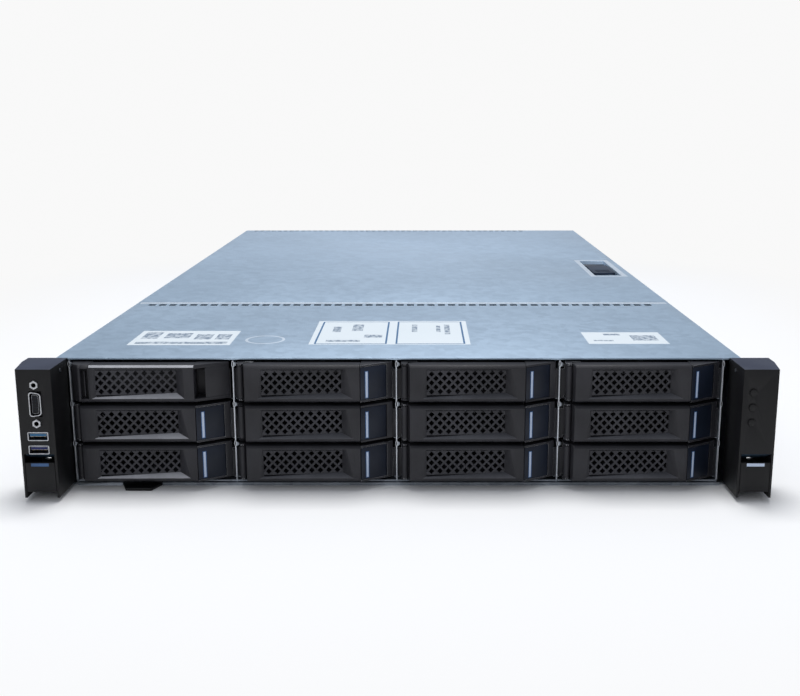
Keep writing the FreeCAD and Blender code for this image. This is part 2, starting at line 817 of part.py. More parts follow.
def usb_socket(name):
    """A USB shell, open at the front, with its tongue inside."""
    centre = f"usb_{name}_height"
    middle = "(0 - connector_centre)"
    socket = Sketched(f"usb_{name}")
    reach = ("0 - ear_reach", "0 - ear_reach + usb_depth")
    left = f"{middle} - usb_width / 2"
    right = f"{middle} + usb_width / 2"
    socket.pad("XZ", rectangle(left, right, f"{centre} - usb_thickness / 2", f"{centre} + usb_thickness / 2"),
               *reach)
    socket.cut("XZ", rectangle(f"{left} + shell_wall", f"{right} - shell_wall",
                               f"{centre} - usb_thickness / 2 + shell_wall",
                               f"{centre} + usb_thickness / 2 - shell_wall"),
               "0 - ear_reach", "0 - ear_reach + usb_depth - socket_floor")
    socket.pad("XZ", rectangle(f"{left} + tongue_inset", f"{right} - tongue_inset", centre,
                               f"{centre} + usb_tongue"), "0 - ear_reach + tongue_inset",
               "0 - ear_reach + usb_depth - socket_floor")
    return socket.body


# ----------------------------------------------------------------- drive cage

def make_drive_cage():
    """Upright dividers on a floor, with guides under the trays and loops in front."""
    cage = Sketched("cage")
    first = f"({CAGE_LEFT} - divider_offset)"
    last = f"({first} + {COLUMNS} * bay_pitch)"
    floor = "(lip_height + slide_gap)"
    cage.pad("XY", rectangle(f"{first} - divider_sheet / 2", f"{last} + divider_sheet / 2", "0", "cage_depth"),
             floor, f"{floor} + divider_sheet")
    divider = cage.pad("XZ", rectangle(f"{first} - divider_sheet / 2", f"{first} + divider_sheet / 2",
                                       "chassis_sheet", WALL_TOP), "0", "cage_depth")
    cage.repeat(divider, COLUMNS + 1, "bay_pitch")
    low = f"({SLOT_FLOOR} - {ROWS - 1} * row_pitch)"
    for name, left, right in (("left", BAY_LEFT, f"{BAY_LEFT} + guide_width"),
                              ("right", f"{BAY_RIGHT} - guide_width", BAY_RIGHT)):
        guide = cage.pad("XZ", rectangle(f"{CAGE_LEFT} + {left}", f"{CAGE_LEFT} + {right}",
                                         low, f"{low} + guide_sheet"), "guide_front", "rail_length")
        cage.repeat(guide, COLUMNS, "bay_pitch", ROWS, "row_pitch")
    top = f"(first_row_top - {ROWS - 1} * row_pitch)"
    left = f"({CAGE_LEFT} + {BAY_LEFT})"
    loop = cage.pad("XZ", [(left, f"{top} - loop_height"), (f"{left} + loop_width", f"{top} - loop_height + loop_slope"),
                           (f"{left} + loop_width", f"{top} - loop_slope"), (left, top)],
                    "0 - loop_reach", "loop_root")
    cage.repeat(loop, COLUMNS, "bay_pitch", ROWS, "row_pitch")
    finish(cage.body, "drive_cage")


def make_backplane():
    """The upright board behind the trays, with one socket for each drive."""
    board = Sketched("backplane_board")
    front = "cage_depth"
    board.pad("XZ", rectangle(f"{CAGE_LEFT} + backplane_margin", f"0 - {CAGE_LEFT} - 2 * backplane_margin",
                               "chassis_sheet", "first_row_top"),
              front, f"{front} + board_sheet")
    low = f"({SLOT_FLOOR} - {ROWS - 1} * row_pitch + socket_rise)"
    left = f"({CAGE_LEFT} + socket_across)"
    sill = f"({low} + socket_height + air_window_rise)"
    air = rectangle(f"{CAGE_LEFT} + air_window_left", f"{CAGE_LEFT} + air_window_right", sill,
                    f"{sill} + air_window_height")
    window = board.cut("XZ", air, front, f"{front} + board_sheet")
    board.repeat(window, COLUMNS, "bay_pitch", ROWS - 1, "row_pitch")
    socket = board.pad("XZ", rectangle(left, f"{left} + socket_width", low, f"{low} + socket_height"),
                       f"{front} - socket_length", front)
    board.repeat(socket, COLUMNS, "bay_pitch", ROWS, "row_pitch")
    finish(board.body, "backplane")


# ---------------------------------------------------------------- drive trays

TRAY_LEFT = f"({BAY_LEFT} + slide_gap)"
TRAY_RIGHT = f"({BAY_RIGHT} - slide_gap)"
RAIL = f"(({TRAY_RIGHT} - {TRAY_LEFT} - drive_width) / 2)"
RAIL_FLOOR = f"({SLOT_FLOOR} + guide_sheet + guide_gap)"
DRIVE_REAR = "(drive_setback + drive_length)"
CROSSBAR_BACK = "(crossbar_front + crossbar_sheet)"
SLOPE = "((face_front - corner_front) / (corner_right - face_right))"


def slope_front(across_text):
    """Y of the slanted front at a distance across the bay."""
    return f"(0 - face_front + ({across_text} - face_right) * {SLOPE})"


def rails(length):
    """The outline of a carrier: a bar across the front and a rail along each side."""
    return [(TRAY_LEFT, "crossbar_front"), (TRAY_RIGHT, "crossbar_front"), (TRAY_RIGHT, length),
            (f"{TRAY_RIGHT} - {RAIL}", length), (f"{TRAY_RIGHT} - {RAIL}", CROSSBAR_BACK),
            (f"{TRAY_LEFT} + {RAIL}", CROSSBAR_BACK), (f"{TRAY_LEFT} + {RAIL}", length), (TRAY_LEFT, length)]


def make_tray():
    """The carrier that slides in the bay, its hinge pin and the drive it holds."""
    carrier = Sketched("carrier")
    carrier.pad("XY", rails("rail_length"), RAIL_FLOOR, f"{RAIL_FLOOR} + rail_height")
    carrier.cut("XZ", rectangle("window_left", "window_right", f"{RAIL_FLOOR} + crossbar_rim",
                                f"{RAIL_FLOOR} + rail_height - crossbar_rim"), "crossbar_front", CROSSBAR_BACK)
    add_tray_corner(carrier)
    add_hinge_ears(carrier)
    pin = rod("tray_pin", "Z", "hinge_pin_radius", "bezel_height - 2 * flange_sheet",
              "hinge_across", "0 - hinge_front", f"{BEZEL_FLOOR} + flange_sheet")
    drive = box("drive", (f"{TRAY_LEFT} + {RAIL}", f"{TRAY_RIGHT} - {RAIL}"), ("drive_setback", DRIVE_REAR),
                (RAIL_FLOOR, f"{RAIL_FLOOR} + drive_height"))
    return group("tray_master", [carrier.body, pin, drive])


def add_tray_corner(carrier):
    """The slanted right corner: a frame round the release button."""
    back = "crossbar_front"
    left = "(face_right + part_gap)"
    plate = [(left, slope_front(left)), ("corner_right", "0 - corner_front"), ("corner_right", back), (left, back)]
    carrier.pad("XY", plate, BEZEL_FLOOR, f"{BEZEL_FLOOR} + flange_sheet")
    carrier.pad("XY", plate, "first_row_top - flange_sheet", "first_row_top")
    post = "(button_right + part_gap)"
    carrier.pad("XY", [(post, slope_front(post)), ("corner_right", "0 - corner_front"), ("corner_right", back),
                       (post, back)], BEZEL_FLOOR, "first_row_top")
    web = ("face_right + corner_web", "corner_right")
    carrier.pad("XY", rectangle(*web, back, f"{back} + crossbar_sheet"), BEZEL_FLOOR, "first_row_top")


def add_hinge_ears(carrier):
    """Two ears on the left that hold the lever's hinge pin between them."""
    round_pin = polygon("hinge_across", "0 - hinge_front", "hinge_ear_flats")
    nose = round_pin[4:]
    shoulder = "0 - lever_back + part_gap"
    right = "hinge_across + hinge_web"
    ears = [("loop_width", "crossbar_front"), ("loop_width", "0 - hinge_front"), *nose,
            ("hinge_across + hinge_ear_flats / 2", shoulder), (right, shoulder), (right, "crossbar_front")]
    carrier.pad("XY", ears, BEZEL_FLOOR, f"{BEZEL_FLOOR} + flange_sheet")
    carrier.pad("XY", ears, "first_row_top - flange_sheet", "first_row_top")
    web = rectangle("loop_width", right, "crossbar_front", "crossbar_front + crossbar_sheet")
    carrier.pad("XY", web, BEZEL_FLOOR, "first_row_top")


def make_lever():
    """The lever that is also the tray's front: a bevelled frame round a sunk mesh."""
    face = Sketched("lever_face")
    left = "(hinge_across + lever_knuckle_flats / 2)"
    face.pad("XY", [(left, "0 - hinge_front + lever_root"), (left, "0 - hinge_front - lever_root"),
                    ("face_left", FACE), ("face_right", FACE), ("face_right", "0 - lever_back"),
                    ("window_left - window_rim", "0 - lever_back")], BEZEL_FLOOR, "first_row_top")
    bevel_bezel(face)
    face.cut("XZ", window_outline(), MESH_LEVEL, "0 - lever_back")
    knuckle = Sketched("lever_knuckle")
    reach = (f"{BEZEL_FLOOR} + flange_sheet + button_side_gap", "first_row_top - flange_sheet - button_side_gap")
    knuckle.pad("XY", polygon("hinge_across", "0 - hinge_front", "lever_knuckle_flats"), *reach)
    knuckle.cut("XY", bore("hinge_across", "0 - hinge_front", "hinge_pin_radius"), *reach)
    return group("lever_master", [meshed(face.body, "lever"), knuckle.body])


FACE = "(0 - face_front)"
MESH_LEVEL = f"({FACE} + window_depth_right)"
WINDOW_HIGH = "(first_row_top - window_drop)"
WINDOW_LOW = f"({WINDOW_HIGH} - window_height)"
MOUTH_HIGH = "(first_row_top - mouth_drop)"
MOUTH_LOW = f"({MOUTH_HIGH} - mouth_height)"


def window_outline():
    """The window at the bottom of the hollow, where the mesh lies."""
    return rectangle("window_left", "window_right", WINDOW_LOW, WINDOW_HIGH)


def bevel_bezel(face):
    """Bevels along the upper and lower front edges."""
    for edge, inward in (("first_row_top", "-"), (BEZEL_FLOOR, "+")):
        face.cut("YZ", [(FACE, edge), (f"{FACE} + bezel_bevel", edge), (FACE, f"{edge} {inward} bezel_bevel")],
                 "0", "corner_right")


def meshed(face, name):
    """A front with a hollow whose walls slope, closed by a slanted mesh."""
    hollow = doc.addObject("Part::Wedge", f"{name}_hollow")
    bind(hollow, Xmin="window_left - part_gap", Xmax="mouth_right", Zmin=MOUTH_LOW, Zmax=MOUTH_HIGH, Ymin=FACE,
         X2min="window_left", X2max="window_right", Z2min=WINDOW_LOW, Z2max=WINDOW_HIGH, Ymax=MESH_LEVEL)
    opened = doc.addObject("Part::Cut", f"{name}_opened")
    opened.Base = face
    opened.Tool = hollow
    front = doc.addObject("Part::Fuse", f"{name}_front")
    front.Base = opened
    front.Tool = make_mesh(name)
    front.Refine = True
    return front


def make_mesh(name):
    """A slanted sheet with diamond holes, every second row set half a pitch across."""
    mesh = Sketched(f"{name}_mesh")
    left = "window_left - mesh_sheet"
    right = "window_right + mesh_sheet"
    near = f"{FACE} + window_depth_left"
    mesh.pad("XY", [(left, near), (right, MESH_LEVEL), (right, f"{MESH_LEVEL} + mesh_sheet"),
                    (left, f"{near} + mesh_sheet")], MOUTH_LOW, MOUTH_HIGH)
    cut_mesh(mesh, "0", MESH_COLUMNS, 2)
    cut_mesh(mesh, "1", MESH_COLUMNS - 1, 1)
    return mesh.body


def cut_mesh(mesh, stagger, count, rows):
    """Rows of diamond holes, half a pitch to the right where `stagger` is 1."""
    reach = f"({MESH_COLUMNS} - 1 - {stagger})"
    centre = f"((window_left + window_right - mesh_pitch * {reach}) / 2)"
    height = f"(({WINDOW_LOW} + {WINDOW_HIGH}) / 2 - mesh_rise * (1 - {stagger}) / 2)"
    half = "mesh_hole / 2"
    hole = mesh.cut("XZ", [(centre, f"{height} - {half}"), (f"{centre} + {half}", height),
                           (centre, f"{height} + {half}"), (f"{centre} - {half}", height)],
                    FACE, f"{MESH_LEVEL} + 2 * mesh_sheet")
    mesh.repeat(hole, count, "mesh_pitch", rows, "mesh_rise")


def make_release_button():
    """The slanted plate at the right of a tray, which frees the lever."""
    plate = Sketched("release_plate")
    left = "(face_right + part_gap)"
    plate.pad("XY", [(left, slope_front(left)), ("button_right", slope_front("button_right")),
                     ("button_right", f"{slope_front('button_right')} + button_thickness"),
                     (f"{left} + stem_inset + button_stem", f"{slope_front(left + ' + stem_inset + button_stem')} + button_thickness"),
                     (f"{left} + stem_inset + button_stem", "crossbar_front - stem_clearance"),
                     (f"{left} + stem_inset", "crossbar_front - stem_clearance"),
                     (f"{left} + stem_inset", f"{slope_front(left + ' + stem_inset')} + button_thickness"),
                     (left, f"{slope_front(left)} + button_thickness")],
              f"{BEZEL_FLOOR} + flange_sheet + button_side_gap",
              "first_row_top - flange_sheet - button_side_gap")
    return group("release_master", [plate.body])


def make_blank():
    """The filler of an empty bay: short rails, a mesh front and a finger grip."""
    blank = Sketched("blank_face")
    blank.pad("XY", rails("blank_length"), RAIL_FLOOR, f"{RAIL_FLOOR} + rail_height")
    blank.pad("XY", [("loop_width", "crossbar_front"), ("loop_width", "0 - hinge_front"),
                     ("face_left", FACE), ("face_right", FACE),
                     ("corner_right", "0 - corner_front"), ("corner_right", "crossbar_front")],
              BEZEL_FLOOR, "first_row_top")
    bevel_bezel(blank)
    blank.cut("XZ", window_outline(), MESH_LEVEL, CROSSBAR_BACK)
    add_blank_grip(blank)
    column, row = BLANK_BAY
    finish(group("blank_set", [meshed(blank.body, "blank")]), "drive_blank", *bay_place(column, row))


def add_blank_grip(blank):
    """A slot on the left, and on the right an opening that undercuts its own edge."""
    back = "0 - lever_back"
    blank.cut("XZ", rectangle("slot_left", "slot_right", MOUTH_LOW, MOUTH_HIGH), FACE, f"{FACE} + slot_depth")
    blank.cut("XZ", rectangle("face_right", "grip_right", MOUTH_LOW, MOUTH_HIGH), FACE, back)
    blank.cut("XZ", rectangle("grip_left", "grip_right", MOUTH_LOW, MOUTH_HIGH), f"{FACE} + grip_edge", back)


def bay_place(column, row):
    """Where the bay in a column and row lies from the one that is drawn."""
    return f"{CAGE_LEFT} + {column} * bay_pitch", "0", f"0 - {row} * row_pitch"


def make_bays():
    """Set a tray, its lever and its button in each bay but the blank one."""
    masters = {"drive_tray": make_tray(), "tray_lever": make_lever(), "release_button": make_release_button()}
    for row in range(ROWS):
        for column in range(COLUMNS):
            if (column, row) == BLANK_BAY:
                continue
            for kind, master in masters.items():
                node = f"{kind}_{row + 1}{column + 1}"
                finish(group(f"{node}_copy", [master]), node, *bay_place(column, row))


# ----------------------------------------------------------------------- fans

FAN_HEIGHT = "(chassis_sheet + fan_size / 2)"


def make_fan_frame():
    """A wall with an opening for each fan, and the four fan frames behind it."""
    cell = Sketched("fan_cell")
    half = "fan_size / 2"
    cell.pad("XZ", rectangle(f"0 - {half}", half, f"0 - {half}", half), "0", "fan_depth")
    cell.cut("XZ", polygon("0", "0", "2 * fan_bore_radius", FAN_SIDES), "0", "fan_depth")
    cell.pad("XZ", polygon("0", "0", "2 * fan_hub_radius", FAN_SIDES), "fan_depth - fan_stator_depth", "fan_depth")
    arm = "fan_strut / 2"
    edge = "(fan_bore_radius + fan_strut_root)"
    strut = ("fan_depth - fan_strut_depth", "fan_depth")
    cell.pad("XZ", rectangle(f"0 - {edge}", edge, f"0 - {arm}", arm), *strut)
    cell.pad("XZ", rectangle(f"0 - {arm}", arm, f"0 - {edge}", edge), *strut)
    cell.pad("XZ", ("0", "0", "fan_shaft_radius"), "rotor_front - shaft_nose", "fan_depth - fan_stator_depth")
    items = [fan_wall()]
    for index in range(FANS):
        frame = group(f"fan_frame_{index + 1}_copy", [cell.body])
        items.append(place(frame, fan_across(index), "fan_front", FAN_HEIGHT))
    finish(group("fan_frame_set", items), "fan_frame")


def fan_across(index):
    """Where the axis of a fan lies across the chassis."""
    return f"({index} - {FANS - 1} / 2) * fan_pitch"


def fan_wall():
    """The upright sheet in front of the fans, with an octagonal opening for each."""
    wall = Sketched("fan_wall")
    half = f"({WALL} - chassis_sheet)"
    front = "fan_front - chassis_sheet"
    wall.pad("XZ", rectangle(f"0 - {half}", half, "chassis_sheet", "first_row_top"), front, "fan_front")
    opening = wall.cut("XZ", polygon(fan_across(0), FAN_HEIGHT, "2 * fan_bore_radius"), front, "fan_front")
    wall.repeat(opening, FANS, "fan_pitch")
    return wall.body


def make_fan_rotors():
    """A hub that runs on the frame's shaft, with pitched blades round it."""
    rotor = Sketched("rotor")
    reach = ("rotor_front", "rotor_front + fan_hub_depth")
    rotor.pad("XZ", polygon("0", "0", "2 * fan_hub_radius", FAN_SIDES), *reach)
    chord = "blade_chord / 2"
    middle = "(rotor_front + fan_hub_depth / 2)"
    rise = "(fan_hub_depth / 2 - 2 * blade_sheet)"
    blade = rotor.pad("YZ", [(f"{middle} - {rise} - blade_sheet", f"0 - {chord}"),
                             (f"{middle} - {rise} + blade_sheet", f"0 - {chord}"),
                             (f"{middle} + {rise} + blade_sheet", chord),
                             (f"{middle} + {rise} - blade_sheet", chord)],
                      "fan_hub_radius - blade_root", "fan_tip_radius")
    rotor.turn(blade, BLADES)
    doc.recompute()
    rotor.cut("XZ", bore("0", "0", "fan_shaft_radius"), *reach)
    for index in range(FANS):
        copy = group(f"rotor_{index + 1}_copy", [rotor.body])
        finish(copy, f"fan_rotor_{index + 1}", fan_across(index), "fan_front", FAN_HEIGHT)


# --------------------------------------------------------- boards and cooling

BOARD_TOP = "(main_board_rise + main_board_sheet)"


def make_motherboard():
    """The main board on its seats, with the processors' sockets and the rear ports."""
    items = [box("main_board", ("main_board_left", "main_board_right"),
                 ("main_board_front", "body_depth - board_setback"), ("main_board_rise", BOARD_TOP))]
    for index in range(HEAT_SINKS):
        left = sink_left(index)
        inset = "processor_inset"
        items.append(box(f"processor_{index}", (f"{left} + {inset}", f"{left} + sink_width - {inset}"),
                         (f"sink_front + {inset}", f"sink_front + sink_length - {inset}"),
                         (BOARD_TOP, f"{BOARD_TOP} + processor_rise")))
    items += [rear_port(*port) for port in REAR_PORTS]
    finish(group("motherboard_set", items), "motherboard")


def rear_port(name, centre, width, height):
    """A connector soldered at the board's rear edge, open towards the rear."""
    port = Sketched(f"port_{name}")
    left = f"{centre} - {width} / 2"
    right = f"{centre} + {width} / 2"
    port.pad("XZ", rectangle(left, right, BOARD_TOP, f"{BOARD_TOP} + {height}"), "body_depth - port_depth", "body_depth")
    port.cut("XZ", rectangle(f"{left} + port_wall", f"{right} - port_wall", f"{BOARD_TOP} + port_wall",
                             f"{BOARD_TOP} + {height} - port_wall"), "body_depth - port_depth + port_floor", "body_depth")
    return port.body


def sink_left(index):
    """Where the left side of a heat sink lies."""
    return f"(sink_first + {index} * sink_pitch)"


def make_heat_sinks():
    """A finned block on each processor."""
    sink = Sketched("heat_sink")
    reach = ("sink_front", "sink_front + sink_length")
    low = f"({BOARD_TOP} + processor_rise)"
    sink.pad("XZ", rectangle("0", "sink_width", low, f"{low} + sink_base"), *reach)
    fin = sink.pad("XZ", rectangle("0", "sink_fin", f"{low} + sink_base", f"{low} + sink_height"), *reach)
    sink.repeat(fin, FINS, "sink_fin_pitch")
    copies = []
    for index in range(HEAT_SINKS):
        copies.append(place(group(f"heat_sink_{index}_copy", [sink.body]), sink_left(index)))
    finish(group("heat_sinks_set", copies), "cpu_heat_sinks")


DIMM_REAR = "(dimm_front + dimm_length + bank_gap)"


def make_memory():
    """Memory modules in their sockets, in a bank on each side of each processor."""
    items = []
    for index in range(HEAT_SINKS):
        left_bank = f"({sink_left(index)} - bank_gap - {DIMMS - 1} * dimm_pitch - dimm_sheet)"
        right_bank = f"({sink_left(index)} + sink_width + bank_gap + dimm_bed)"
        items += memory_bank(f"left_{index}", left_bank)
        items += memory_bank(f"right_{index}", right_bank)
    finish(group("memory_set", items), "memory_modules")


def memory_bank(name, start):
    """Upright modules in a row, on the bed of sockets that they share."""
    last = f"({start} + {DIMMS - 1} * dimm_pitch + dimm_sheet)"
    bed = f"({BOARD_TOP} + dimm_bed)"
    items = [box(f"sockets_{name}", (f"{start} - dimm_bed", last), ("dimm_front - bank_gap", DIMM_REAR),
                 (BOARD_TOP, bed))]
    for index in range(DIMMS):
        left = f"({start} + {index} * dimm_pitch)"
        items.append(box(f"module_{name}_{index}", (left, f"{left} + dimm_sheet"),
                         ("dimm_front", "dimm_front + dimm_length"), (bed, f"{BOARD_TOP} + dimm_height")))
    return items


def make_risers():
    """Two riser cages at the rear, each with its slot covers."""
    items = []
    for index in range(2):
        left = f"(riser_left + {index} * riser_pitch)"
        items.append(riser_cage(index, left))
        for slot in range(SLOTS):
            low = f"(riser_bottom + slot_gap + {slot} * slot_pitch)"
            rear = "(body_depth - chassis_sheet)"
            items.append(box(f"slot_cover_{index}_{slot}", (f"{left} + slot_cover_margin", f"{left} + riser_width - slot_cover_margin"),
                             (f"{rear} - slot_cover_sheet", rear), (low, f"{low} + slot_cover_height")))
    finish(group("risers_set", items), "riser_cages")


def riser_cage(index, left):
    """A folded bracket that stands on the board and carries the slots."""
    cage = Sketched(f"riser_{index}")
    rear = "(body_depth - chassis_sheet)"
    top = "(riser_bottom + riser_height)"
    inside = f"{top} - riser_sheet"
    cage.pad("XZ", [(left, BOARD_TOP), (f"{left} + riser_sheet", BOARD_TOP), (f"{left} + riser_sheet", inside),
                    (f"{left} + riser_width", inside), (f"{left} + riser_width", top), (left, top)],
             f"{rear} - riser_depth", f"{rear} - slot_cover_sheet")
    return cage.body


# -------------------------------------------------------------- power supplies

def make_power_supplies():
    """Two supplies, one above the other, each with an inlet and a loop handle."""
    master = group("psu_master", [psu_case(), psu_inlet(), psu_handle()])
    rise = "psu_height + 2 * psu_gap + cover_sheet"
    for index in range(2):
        finish(group(f"psu_{index + 1}_copy", [master]), f"psu_{index + 1}", z=f"{index} * ({rise})")


PSU_LOW = "(chassis_sheet + psu_gap)"
PSU_REAR = "(body_depth + psu_flange)"
INLET_LEFT = "(psu_left + inlet_across)"
INLET_LOW = f"({PSU_LOW} + inlet_rise)"
FAN_SLOT_LEFT = "(psu_left + fan_slot_across)"


def psu_case():
    """The supply's steel case, with a seat for its inlet and slots for its fan."""
    case = Sketched("psu_case")
    case.pad("XZ", rectangle("psu_left", "psu_left + psu_width", PSU_LOW, f"{PSU_LOW} + psu_height"),
             PSU_FRONT, PSU_REAR)
    case.cut("XZ", rectangle(INLET_LEFT, f"{INLET_LEFT} + inlet_width", INLET_LOW, f"{INLET_LOW} + inlet_height"),
             f"{PSU_REAR} - inlet_depth", PSU_REAR)
    low = f"({PSU_LOW} + fan_slot_rise)"
    slot = case.cut("XZ", rectangle(FAN_SLOT_LEFT, f"{FAN_SLOT_LEFT} + fan_slot_width", low, f"{low} + fan_slot_height"),
                    f"{PSU_REAR} - fan_slot_depth", PSU_REAR)
    case.repeat(slot, FAN_SLOTS, "fan_slot_pitch", upward=True)
    return case.body


def psu_inlet():
    """A mains inlet: a socket with three flat pins."""
    inlet = Sketched("psu_inlet")
    front = f"({PSU_REAR} - inlet_depth)"
    inlet.pad("XZ", rectangle(INLET_LEFT, f"{INLET_LEFT} + inlet_width", INLET_LOW, f"{INLET_LOW} + inlet_height"),
              front, PSU_REAR)
    wall = "inlet_wall"
    left = f"({INLET_LEFT} + {wall})"
    right = f"({INLET_LEFT} + inlet_width - {wall})"
    low = f"({INLET_LOW} + {wall})"
    high = f"({INLET_LOW} + inlet_height - {wall})"
    inlet.cut("XZ", [(left, low), (right, low), (right, f"{high} - inlet_corner"),
                     (f"{right} - inlet_corner", high), (f"{left} + inlet_corner", high),
                     (left, f"{high} - inlet_corner")], f"{front} + inlet_floor", PSU_REAR)
    middle = f"({INLET_LEFT} + inlet_width / 2)"
    for step in (-1, 0, 1):
        pin = f"({middle} + {step} * inlet_pin_pitch - inlet_pin_width / 2)"
        foot = f"({low} + inlet_pin_height * {2 if step == 0 else 1} - 1)"
        inlet.pad("XZ", rectangle(pin, f"{pin} + inlet_pin_width", foot, f"{foot} + inlet_pin_height"),
                  f"{front} + inlet_floor", f"{PSU_REAR} - inlet_pin_setback")
    return inlet.body


def psu_handle():
    """A loop handle that stands out behind the fan's slots."""
    handle = Sketched("psu_handle")
    left = FAN_SLOT_LEFT
    right = f"({left} + handle_width)"
    tip = f"({PSU_REAR} + handle_reach)"
    middle = f"({PSU_LOW} + psu_height / 2)"
    handle.pad("XY", [(left, PSU_REAR), (left, f"{tip} - handle_corner"), (f"{left} + handle_corner", tip),
                      (f"{right} - handle_corner", tip), (right, f"{tip} - handle_corner"), (right, PSU_REAR), (f"{right} - handle_bar", PSU_REAR),
                      (f"{right} - handle_bar", f"{tip} - handle_bar"), (f"{left} + handle_bar", f"{tip} - handle_bar"),
                      (f"{left} + handle_bar", PSU_REAR)],
               f"{middle} - handle_height / 2", f"{middle} + handle_height / 2")
    return handle.body


# --------------------------------------------------------------- pull-out tag

def make_tag():
    """The flat tag that slides out over the chassis floor by its tapered grip."""
    tag = Sketched("tag")
    half = "tag_width / 2"
    tip = "tag_tip_width / 2"
    low = "chassis_sheet + tag_rise"
    tag.pad("XY", rectangle(f"tag_centre - {half}", f"tag_centre + {half}", "0 - lip_reach", "tag_length"),
            low, f"{low} + tag_sheet")
    tag.pad("XY", [(f"tag_centre - {half}", "0 - cover_gap"), (f"tag_centre - {half}", "0 - lip_reach"),
                   (f"tag_centre - {tip}", "0 - tag_reach"), (f"tag_centre + {tip}", "0 - tag_reach"),
                   (f"tag_centre + {half}", "0 - lip_reach"), (f"tag_centre + {half}", "0 - cover_gap")],
            "tag_rise", f"{low} + tag_sheet")
    finish(group("tag_set", [tag.body]), "pull_out_tag")


# ------------------------------------------------------------ check and export

def check_model():
    """Stop if any object failed, or a sub-part is empty or not valid."""
    for item in doc.Objects:
        faults = [state for state in item.State if state in ("Invalid", "Error")]
        if faults:
            raise RuntimeError(f"{item.Name} ({item.Label}) is {faults}")
    for item in subparts:
        if item.Shape.isNull() or not item.Shape.isValid() or not item.Shape.Solids:
            raise RuntimeError(f"{item.Label} has no valid solid")


def export_parts():
    os.makedirs("parts", exist_ok=True)
    for item in subparts:
        item.Shape.exportStep(f"parts/{item.Label}.step")
    print(len(subparts), "sub-parts written")


fill_sheet()
make_chassis()
make_front_cover()
make_top_cover()
make_cover_latch()
make_left_ear()
make_right_ear()
make_ear_latch(-1, "left_ear_latch")
make_ear_latch(1, "right_ear_latch")
make_ear_buttons()
make_front_ports()
make_drive_cage()
make_backplane()
make_blank()
make_bays()
make_fan_frame()
make_fan_rotors()
make_motherboard()
make_heat_sinks()
make_memory()
make_risers()
make_power_supplies()
make_tag()
doc.recompute()
check_model()
export_parts()
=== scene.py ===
# %% [markdown]
# # A two-unit rack server, dressed for its portrait
# The machine is a long, low steel box that slides into a rack. Drive trays and
# one filler close its front, two ears carry the screws and the small connectors,
# and two steel covers close its top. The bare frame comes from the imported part.
# Here it gets finishes, and the pieces that the eye rests on get finer shapes.

# %% Tools
import json
import math
import bmesh
import bpy
from mathutils import Matrix, Vector


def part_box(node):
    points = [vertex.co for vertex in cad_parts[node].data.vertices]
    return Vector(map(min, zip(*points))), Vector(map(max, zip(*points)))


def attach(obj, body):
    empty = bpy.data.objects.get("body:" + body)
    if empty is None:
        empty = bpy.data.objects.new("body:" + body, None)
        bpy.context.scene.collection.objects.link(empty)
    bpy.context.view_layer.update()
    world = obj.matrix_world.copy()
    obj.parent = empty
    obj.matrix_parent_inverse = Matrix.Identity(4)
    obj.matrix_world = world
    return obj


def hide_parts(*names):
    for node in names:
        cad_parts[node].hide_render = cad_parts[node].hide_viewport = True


MM = 0.001
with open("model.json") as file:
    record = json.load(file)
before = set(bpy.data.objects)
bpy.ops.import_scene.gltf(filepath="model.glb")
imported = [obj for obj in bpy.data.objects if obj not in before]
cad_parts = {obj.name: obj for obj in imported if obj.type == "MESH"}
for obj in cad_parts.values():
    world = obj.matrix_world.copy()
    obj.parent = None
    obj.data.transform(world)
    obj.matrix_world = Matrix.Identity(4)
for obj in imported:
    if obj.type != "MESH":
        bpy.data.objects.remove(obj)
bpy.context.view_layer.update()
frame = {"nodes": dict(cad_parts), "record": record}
print("frame loaded:", len(frame["nodes"]), "nodes")

# %% [markdown]
# ## Signals
# A finish is a small sum of noises. Writing such sums node by node hides the
# idea, so a signal here stands for one value in a material, and plain
# arithmetic on signals lays down the nodes.

# %% Arithmetic on material values


def feed(tree, socket, value):
    """Link a signal into a socket, or set a plain value on it."""
    if isinstance(value, Signal):
        tree.links.new(value.socket, socket)
    else:
        socket.default_value = value


def add_node(tree, kind, values=(), settings=None, out=0):
    """Add one node, feed its inputs by name or number, and return one output."""
    node = tree.nodes.new(kind)
    for name, setting in (settings or {}).items():
        setattr(node, name, setting)
    for key, value in dict(values).items():
        feed(tree, node.inputs[key], value)
    return Signal(tree, node.outputs[out])


class Signal:
    """One value inside a node tree."""

    def __init__(self, tree, socket):
        self.tree = tree
        self.socket = socket

    def math(self, operation, *others, first=None):
        values = [self if first is None else first, *others]
        return add_node(self.tree, "ShaderNodeMath", enumerate(values), {"operation": operation})

    def __add__(self, other):
        return self.math("ADD", other)

    def __sub__(self, other):
        return self.math("SUBTRACT", other)

    def __mul__(self, other):
        return self.math("MULTIPLY", other)

    def __truediv__(self, other):
        return self.math("DIVIDE", other)

    def __rsub__(self, other):
        return self.math("SUBTRACT", self, first=other)

    __radd__ = __add__

    def above(self, level, soft=0.0001):
        """0 below the level and 1 above it, with a soft step between."""
        return self.ramp(level - soft, level + soft)

    def ramp(self, low, high):
        """0 up to the first level, 1 from the second, and smooth between."""
        values = {0: self, 1: low, 2: high}
        return add_node(self.tree, "ShaderNodeMapRange", values, {"interpolation_type": "SMOOTHSTEP"})


def between(signal, low, high, soft=0.0001):
    """1 inside a span and 0 outside it."""
    return signal.above(low, soft) * (1 - signal.above(high, soft))


print("signals ready")

# %% [markdown]
# ## The bench
# Lengths from here on are millimetres. X runs to the right and Z up from the
# underside, as in the frame, and Y counts back from the chassis's front edge.
# Shapes are skinned from rows of outlines, the way a sheet or a moulding is
# drawn: one outline after another, each with the same number of points.

# %% Measures
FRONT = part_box("left_ear")[0][1] / MM + 33.0
TO_METRES = Matrix.Scale(MM, 4) @ Matrix.Translation((0, FRONT, 0))


